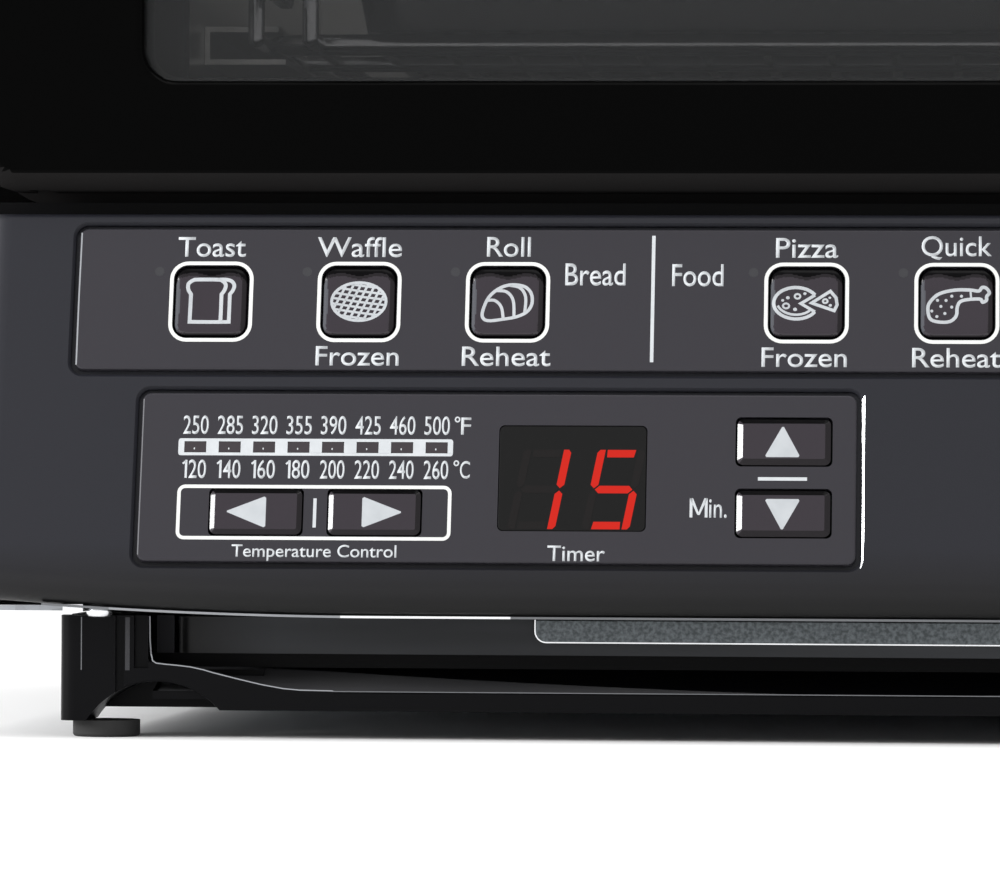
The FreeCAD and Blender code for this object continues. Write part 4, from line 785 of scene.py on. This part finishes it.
# an oval waffle, with bars across and bars up that lean a little
waffle = Icon(1)
waffle.line(oval(0, 0, 4.85, 3.5, steps=36), 0.52, True)
across = [([(x / 5, k - 0.14 * x / 5) for x in range(-25, 26)], 0.4) for k in range(-3, 4)]
upward = [([(k * 1.28 + 0.5 * y / 5, y / 5) for y in range(-18, 19)], 0.42) for k in range(-4, 5)]
for bar, width in across + upward:
    inside = [(x, y) for x, y in bar if (x / 4.8) ** 2 + (y / 3.42) ** 2 < 1]
    if len(inside) > 2:
        waffle.line(inside, width)
waffle.done("waffle_icon", KEY_INK, "waffle_button")

# a rolled bun
roll = Icon(2)
bun = [
    (-4.4, -1.9), (-4.2, -3.1), (-3.1, -3.5), (-0.6, -3.15), (1.7, -2.7), (3.5, -1.8), (4.35, -0.3),
    (4.2, 1.5), (3.2, 2.7), (1.6, 3.15), (-0.2, 3.05), (-2.0, 2.2), (-3.5, 0.6),
]
roll.line(smooth_path(bun, True), 0.58, True)
roll.line(smooth_path([(-3.9, 0.2), (-2.3, 0.3), (-1.1, -0.9), (-0.7, -3.1)]), 0.54)
roll.line(smooth_path([(-2.1, 2.1), (-0.2, 1.9), (1.0, 0.3), (1.2, -2.8)]), 0.54)
roll.line(smooth_path([(0.3, 3.1), (2.2, 2.6), (3.2, 0.9), (3.1, -1.9)]), 0.54)
roll.done("roll_icon", KEY_INK, "roll_button")

# a pizza with one slice drawn out
pizza = Icon(3)
rim = oval(-1.85, -0.1, 3.95, 2.9, 32, 328, 30)
pizza.line(rim, 0.6)
pizza.line([rim[0], (-1.0, -0.1), rim[-1]], 0.54)
pizza.line(oval(-1.9, 0.25, 3.35, 2.45, 200, 318, 16), 0.44)
pizza.line([(0.9, 0.0), (4.2, 2.1), (5.2, 0.9), (5.4, -0.4), (4.9, -1.5)], 0.56, True)
for cx, cy, r in ((-1.6, 1.2, 0.5), (-3.6, -0.6, 0.55), (3.3, 0.3, 0.42)):
    pizza.line(oval(cx, cy, r, r * 0.85, steps=12), 0.34, True)
for cx, cy, r in (
    (-2.0, -1.2, 0.32), (-3.3, 0.9, 0.3), (-0.3, 1.7, 0.26),
    (-4.2, 0.4, 0.24), (4.2, -0.5, 0.26), (4.1, 0.9, 0.22),
):
    pizza.fan(oval(cx, cy, r * 1.15, r, steps=10))
pizza.done("pizza_icon", KEY_INK, "pizza_button")

# a drumstick
drumstick = Icon(4)
leg = [
    (-5.3, -1.0), (-4.9, -2.9), (-3.4, -3.5), (-1.3, -3.4), (-0.1, -2.3), (0.1, -0.6), (1.0, 0.5),
    (4.1, 0.75), (4.7, 0.15), (5.4, 0.5), (5.45, 1.2), (5.95, 1.9), (5.4, 2.7), (4.6, 2.85),
    (4.0, 2.2), (2.4, 2.4), (-0.4, 2.4), (-3.2, 1.7), (-4.8, 0.3),
]
drumstick.line(smooth_path([(x * 0.96, y) for x, y in leg], True, 4), 0.6, True)
drumstick.line([(2.5, 0.8), (2.4, 2.1)], 0.36)
for cx, cy in (
    (-3.4, 0.5), (-1.9, 0.5), (-2.8, -0.6), (-0.9, -0.7), (-4.4, -1.5),
    (-2.1, -1.9), (-3.5, -2.5), (-0.9, 1.3), (0.8, 1.3),
):
    drumstick.fan(oval(cx, cy, 0.28, 0.28, steps=10))
drumstick.done("reheat_icon", KEY_INK, "reheat_button")

# a shredded potato patty
patty = Icon(5)
patty.line(rounded_rect(0, 0, 8.8, 5.6, 2.5, 8), 0.5, True)
for k in range(9):
    x, y = -3.0 + 1.5 * (k % 5) + (0.5 if k > 4 else 0), 1.0 if k < 5 else -1.0
    patty.line([(x - 0.4, y - 0.5), (x + 0.4, y + 0.4)], 0.34)
patty.done("potato_icon", KEY_INK, "potato_button")


# ------------------------------------------------------------ marks on the other keys
def blunt(points, r=0.35):
    """Cuts each corner of a polygon off, r along both of its sides."""
    out = []
    for i, p in enumerate(points):
        a, b = points[i - 1], points[(i + 1) % len(points)]
        for q in (a, b):
            d = math.hypot(q[0] - p[0], q[1] - p[1])
            out.append((p[0] + (q[0] - p[0]) * r / d, p[1] + (q[1] - p[1]) * r / d))
    return out


ARROWS = (
    ("temperature_down", [(-116.4, 18.85), (-109.2, 15.85), (-109.2, 21.7)]),
    ("temperature_up", [(-85.0, 18.85), (-92.2, 21.7), (-92.2, 15.95)]),
    ("timer_up", [(-18.5, 35.0), (-21.7, 29.2), (-15.4, 29.2)]),
    ("timer_down", [(-18.5, 15.8), (-15.3, 21.6), (-21.6, 21.6)]),
)
for name, corners in ARROWS:
    arrow = Print(lambda x, y: on_face(x, y, KEY_TOP + PRINT))
    arrow.fan(blunt(corners))
    arrow.done(name + "_mark", KEY_INK, name + "_button")

power_mark = Print(lambda x, y: on_face(START_U + x, POWER_V + y, KEY_TOP + PRINT))
power_mark.line(oval(0, 0, 3.0, 3.0, 125, 415, 26), 0.6)
power_mark.line([(0, 0.6), (0, 4.0)], 0.6)
power_mark.done("power_mark", KEY_INK, "power_button")

start_mark = Print(lambda x, y: on_face(START_U + x, START_V + y, KEY_TOP + PRINT))
start_mark.fan(blunt([(-6.6, -3.4), (-0.8, 0.0), (-6.6, 3.4)]))
start_mark.quad((2.6, -2.6), (7.8, -2.6), (7.8, 2.6), (2.6, 2.6))
start_mark.done("start_mark", KEY_INK, "start_button")

# ------------------------------------------------------------ timer digits
# each digit is 2 * HALF_HIGH high; its upright bars are 2 * BAR wide, BAR_X from its middle
DIGIT_V, DIGIT_W, HALF_HIGH, BAR_X, BAR = 23.27, 0.33, 7.22, 3.53, 0.68
SLANT = math.tan(math.radians(10.5))
UPRIGHT = [
    (BAR_X, 0.22), (BAR_X + BAR, 0.85), (BAR_X + BAR, HALF_HIGH - 0.55), (BAR_X + BAR - 0.45, HALF_HIGH),
    (BAR_X - BAR, HALF_HIGH), (BAR_X - BAR, 0.85),
]
CROSS = [(-2.5, HALF_HIGH), (2.5, HALF_HIGH), (2.35, HALF_HIGH - 1.36), (-2.35, HALF_HIGH - 1.36)]
SEGMENTS = {
    "top": CROSS,
    "bottom": [(x, -y) for x, y in CROSS],
    "middle": [(-3.3, 0), (-2.6, BAR), (2.6, BAR), (3.3, 0), (2.6, -BAR), (-2.6, -BAR)],
    "upper_right": UPRIGHT,
    "upper_left": [(-x, y) for x, y in UPRIGHT],
    "lower_right": [(x, -y) for x, y in UPRIGHT],
    "lower_left": [(-x, -y) for x, y in UPRIGHT],
}
DIGITS = (
    ("tens", -61.1, ("upper_right", "lower_right")),
    ("units", -48.05, ("top", "upper_left", "middle", "lower_right", "bottom")),
)
for name, u, lit_names in DIGITS:
    lit = Print(lambda x, y: on_face(x, y, DIGIT_W))
    dark = Print(lambda x, y: on_face(x, y, DIGIT_W))
    for segment, corners in SEGMENTS.items():
        (lit if segment in lit_names else dark).fan([(u + x + y * SLANT, DIGIT_V + y) for x, y in corners])
    lit.done(name + "_lit_segments", LIT, "cabinet")
    dark.done(name + "_unlit_segments", UNLIT, "cabinet")


# ------------------------------------------------------------ small details of the lower front
def place(x, y, z):
    """A place given in millimetres, in metres."""
    return Vector((x, y, z)) * MM


def upright_print(y):
    """Painted highlights and shades in a plane that faces straight forward, at depth y."""
    return Print(lambda x, z: place(x, y, z))


LIP_STRAIGHT, LIP_SWEEP = 90.0, 889.0  # half length of the lip's straight part, and radius of its ends


def lip_z(x):
    """Height of the lip's underside, which sweeps up at both ends."""
    return LIP_Z + max(0.0, abs(x) - LIP_STRAIGHT) ** 2 / (2 * LIP_SWEEP)


# the strip's front and back, its top and foot from the lip's underside, and its lengthwise steps
STRIP_FRONT, STRIP_BACK, STRIP_ABOVE, STRIP_BELOW, STRIP_STEPS = -137.9, -136.9, 0.1, 0.3, 40


def lip_strip(name, x0, x1, mat):
    """A thin strip under the lip, from x0 to x1, that carries a painted highlight along the lip's lower edge.
    """
    verts, faces = [], []
    for k in range(STRIP_STEPS + 1):
        x = x0 + (x1 - x0) * k / STRIP_STEPS
        top, foot = lip_z(x) + STRIP_ABOVE, lip_z(x) - STRIP_BELOW
        section = ((STRIP_FRONT, top), (STRIP_FRONT, foot), (STRIP_BACK, foot), (STRIP_BACK, top))
        verts += [place(x, y, z) for y, z in section]
        if k:
            a, b = 4 * (k - 1), 4 * k
            faces += [(a + i, a + (i + 1) % 4, b + (i + 1) % 4, b + i) for i in range(4)]
    faces += [(0, 1, 2, 3), tuple(4 * STRIP_STEPS + i for i in (3, 2, 1, 0))]
    piece(name, verts, faces, mat, "cabinet")


# painted highlight along the lip: bright in two stretches, paler at the bends, dim in the middle and at the
# ends
lip_strip("lip_strip_left_end", -149, -137, DIM_HIGHLIGHT)
lip_strip("lip_strip_left_bend", -137, -96, PALE_HIGHLIGHT)
lip_strip("lip_strip_left", -96, -66, BRIGHT_STEEL_AND_HIGHLIGHT)
lip_strip("lip_strip_middle", -66, 66, DIM_HIGHLIGHT)
lip_strip("lip_strip_right", 66, 96, BRIGHT_STEEL_AND_HIGHLIGHT)
lip_strip("lip_strip_right_bend", 96, 137, PALE_HIGHLIGHT)
lip_strip("lip_strip_right_end", 137, 149, DIM_HIGHLIGHT)


def block(name, x, y, z, mat):
    """A plain box, given its ends along each axis."""
    outline = ((x[0], y[0]), (x[1], y[0]), (x[1], y[1]), (x[0], y[1]))
    corners = [place(a, b, c) for c in z for a, b in outline]
    sides = [(3, 2, 1, 0), (4, 5, 6, 7)] + [(i, (i + 1) % 4, 4 + (i + 1) % 4, 4 + i) for i in range(4)]
    piece(name, corners, sides, mat, "cabinet")


# the base's mouth: its top, and where its upright sides meet its curved foot
MOUTH_TOP, SIDE_FOOT, SIDE_X = 21.6, 14.9, 130.5

# the pale reflection painted on the sloping apron inside the mouth, and the painted shade of the reveal
# beside it
APRON_FRONT, APRON_FOOT, APRON_SLOPE = -127.8, 8.42, 3.7 / 18.6
SHEEN_FRONT = -127.7
SHEEN_BACK = [
    (129.5, -109.6), (116.6, -109.6), (101.5, -112.4), (86.5, -115.9),
    (68.8, -119.6), (51.1, -122.8), (33.4, -125.6), (15.7, -127.5),
]
for side, name in SIDES:
    apron = Print(lambda x, y: place(side * x, y, APRON_FOOT + (y - APRON_FRONT) * APRON_SLOPE))
    for a, b in zip(SHEEN_BACK, SHEEN_BACK[1:]):
        apron.quad((a[0], SHEEN_FRONT), (b[0], SHEEN_FRONT), b, a)
    apron.done(name + "_apron_sheen", APRON, "cabinet")
    across = sorted((side * 130.6, side * 127.5))
    block(name + "_mouth_reveal_shade", across, (-121.6, -121.0), (SIDE_FOOT, MOUTH_TOP), REVEAL_SHADE)

# dark seals that close the gaps above the fascia and under the crumb tray
block("fascia_top_seal", (-163, 163), (-108.9, -108.1), (91.5, 96.0), LOOK["black_plastic"])
block("apron_seal", (-135, 135), (-109.15, -108.6), (11.6, 14.6), LOOK["black_plastic"])

# a screw head under each end of the lip: radius and height down its profile, and its middle
SCREW = ((2.35, 23.6), (2.35, 22.3), (2.1, 21.75), (1.5, 21.5), (0.6, 21.42))
SCREW_X, SCREW_Y, SCREW_STEPS = 139.05, -135.1, 24

# the layers of painted highlight and shade on the base's front, which is at y = -130
FILL_Y, POST_LINE_Y, EDGE_Y = -130.03, -130.05, -130.06

# the curved edge along the mouth's foot, from its side down to the bar in the middle
BAR_HALF, BAR_TOP = 98, 8.5
EDGE_BAND = 1.3  # the height of the painted shade band below the edge
MOUTH_EDGE = (
    (SIDE_X, SIDE_FOOT), (130.2, 13.7), (129.6, 13.3), (128, 13.12), (125.7, 12.92),
    (123.5, 12.67), (121.2, 12.19), (119.4, 11.67), (114.6, 10.5), (110.7, 9.61), (106.9, 8.95),
    (103.9, 8.7), (BAR_HALF, BAR_TOP + 0.1),
)

for side, name in SIDES:
    verts, faces = [], []
    for r, z in SCREW:
        for a in (2 * math.pi * k / SCREW_STEPS for k in range(SCREW_STEPS)):
            verts.append(place(side * SCREW_X + r * math.cos(a), SCREW_Y + r * math.sin(a), z))
    for k in range(len(SCREW) - 1):
        low, high = k * SCREW_STEPS, (k + 1) * SCREW_STEPS
        for i in range(SCREW_STEPS):
            j = (i + 1) % SCREW_STEPS
            faces.append((low + i, low + j, high + j, high + i))
    faces += [tuple(range(len(verts) - SCREW_STEPS, len(verts))), tuple(reversed(range(SCREW_STEPS)))]
    piece(name + "_lip_screw", verts, faces, BRIGHT_STEEL_AND_HIGHLIGHT, "cabinet", smooth=True)
    block(name + "_lip_clip", sorted((side * 145.3, side * 141.7)), (-137.2, -133.0), (22.55, 23.8), BRIGHT_STEEL_AND_HIGHLIGHT)

    # painted highlights: two upright lines on the corner post
    for x, wide, mat in ((143.0, 0.16, DIM_HIGHLIGHT), (134.75, 0.8, SPOT)):
        line = upright_print(POST_LINE_Y)
        line.line([(side * x, 12.0), (side * x, 21.4)], wide)
        line.done(f"{name}_post_line_{int(x)}", mat, "cabinet")

    # a painted highlight along the foot, with a painted shade band below it, and a painted highlight up the
    # side to the lip
    edge = [(side * x, z) for x, z in MOUTH_EDGE]
    fill = upright_print(FILL_Y)
    for a, b in zip(edge, edge[1:]):
        fill.quad(a, b, (b[0], b[1] - EDGE_BAND), (a[0], a[1] - EDGE_BAND))
    fill.done(name + "_mouth_edge_fill", LOOK["black_plastic"], "cabinet")
    pale = upright_print(EDGE_Y)
    pale.line(edge, 0.2)
    pale.done(name + "_mouth_edge", PALE_HIGHLIGHT, "cabinet")
    stile = upright_print(EDGE_Y)
    stile_path = ((130.75, MOUTH_TOP), (130.7, 17.4), (SIDE_X, SIDE_FOOT))
    stile.line([(side * x, z) for x, z in stile_path], 0.24)
    stile.done(name + "_mouth_stile", DIM_HIGHLIGHT, "cabinet")

# a painted highlight along the top of the bar
bar_edge = upright_print(EDGE_Y)
bar_edge.line([(-BAR_HALF, BAR_TOP), (BAR_HALF, BAR_TOP)], 0.16)
bar_edge.done("mouth_bar_edge", DIM_HIGHLIGHT, "cabinet")

# the pull tab's steel rim, painted as a bright highlight down one side, round its corners and up the other
TAB_X, TAB_FOOT, TAB_TOP, TAB_R = 62.65, 17.25, 21.3, 2.0
corner = []
for a in (math.radians(step) for step in range(0, 91, 15)):
    corner.append((-TAB_X + TAB_R - TAB_R * math.cos(a), TAB_FOOT + TAB_R - TAB_R * math.sin(a)))
tab_edge = upright_print(-124.0)
tab_edge.line([(-TAB_X, TAB_TOP)] + corner + [(-x, z) for x, z in corner[::-1]] + [(TAB_X, TAB_TOP)], 0.22)
tab_edge.done("tab_edge", BRIGHT_STEEL_AND_HIGHLIGHT, "crumb_drawer")

# ------------------------------------------------------------ floor, lights, camera
bpy.ops.mesh.primitive_plane_add(size=16, location=(0, 0, 0))
floor = bpy.context.object
floor.name = "floor"
floor.data.materials.append(principled("floor", (0.94, 0.94, 0.94), 0.9, 0.0, 0.0))

world = bpy.data.worlds.new("studio")
bpy.context.scene.world = world
world.use_nodes = True
world.node_tree.nodes["Background"].inputs["Color"].default_value = (1.0, 1.0, 1.0, 1)
world.node_tree.nodes["Background"].inputs["Strength"].default_value = 0.97


def softbox(name, at, target, size, power):
    """A rectangular light that points at target. Its size is in metres and its power in watts."""
    light = bpy.data.lights.new(name, "AREA")
    light.shape = "RECTANGLE"
    light.size, light.size_y = size
    light.energy = power
    made = bpy.data.objects.new(name, light)
    bpy.context.scene.collection.objects.link(made)
    made.location = at
    made.rotation_euler = (Vector(target) - Vector(at)).to_track_quat("-Z", "Y").to_euler()


softbox("left_strip", (-1.47, -0.63, 0.60), (-0.06, -0.137, 0.04), (0.36, 0.75), 24)
softbox("top_softbox", (0.3, -0.5, 1.8), (0, 0, 0.1), (1.4, 1.0), 12)

# the photograph's viewpoint, fitted to the keys, the lip and the mouth of the base
CAMERA_AT = (0.0110, -1.1626, 0.0472)
TURN, TILT, ROLL = 4.407, 0.295, 0.269  # to the left, upwards and about the line of sight, in degrees
camera_data = bpy.data.cameras.new("camera")
camera_data.lens = 211.0
camera_data.sensor_width = 36.0
camera_data.clip_end = 60
camera = bpy.data.objects.new("camera", camera_data)
bpy.context.scene.collection.objects.link(camera)
turn = Matrix.Rotation(math.radians(TURN), 4, "Z")
tilt = Matrix.Rotation(math.radians(90 + TILT), 4, "X")
rolled = Matrix.Rotation(math.radians(ROLL), 4, "Z")
camera.matrix_world = Matrix.Translation(CAMERA_AT) @ turn @ tilt @ rolled
bpy.context.scene.camera = camera
bpy.context.scene.view_settings.view_transform = "Standard"
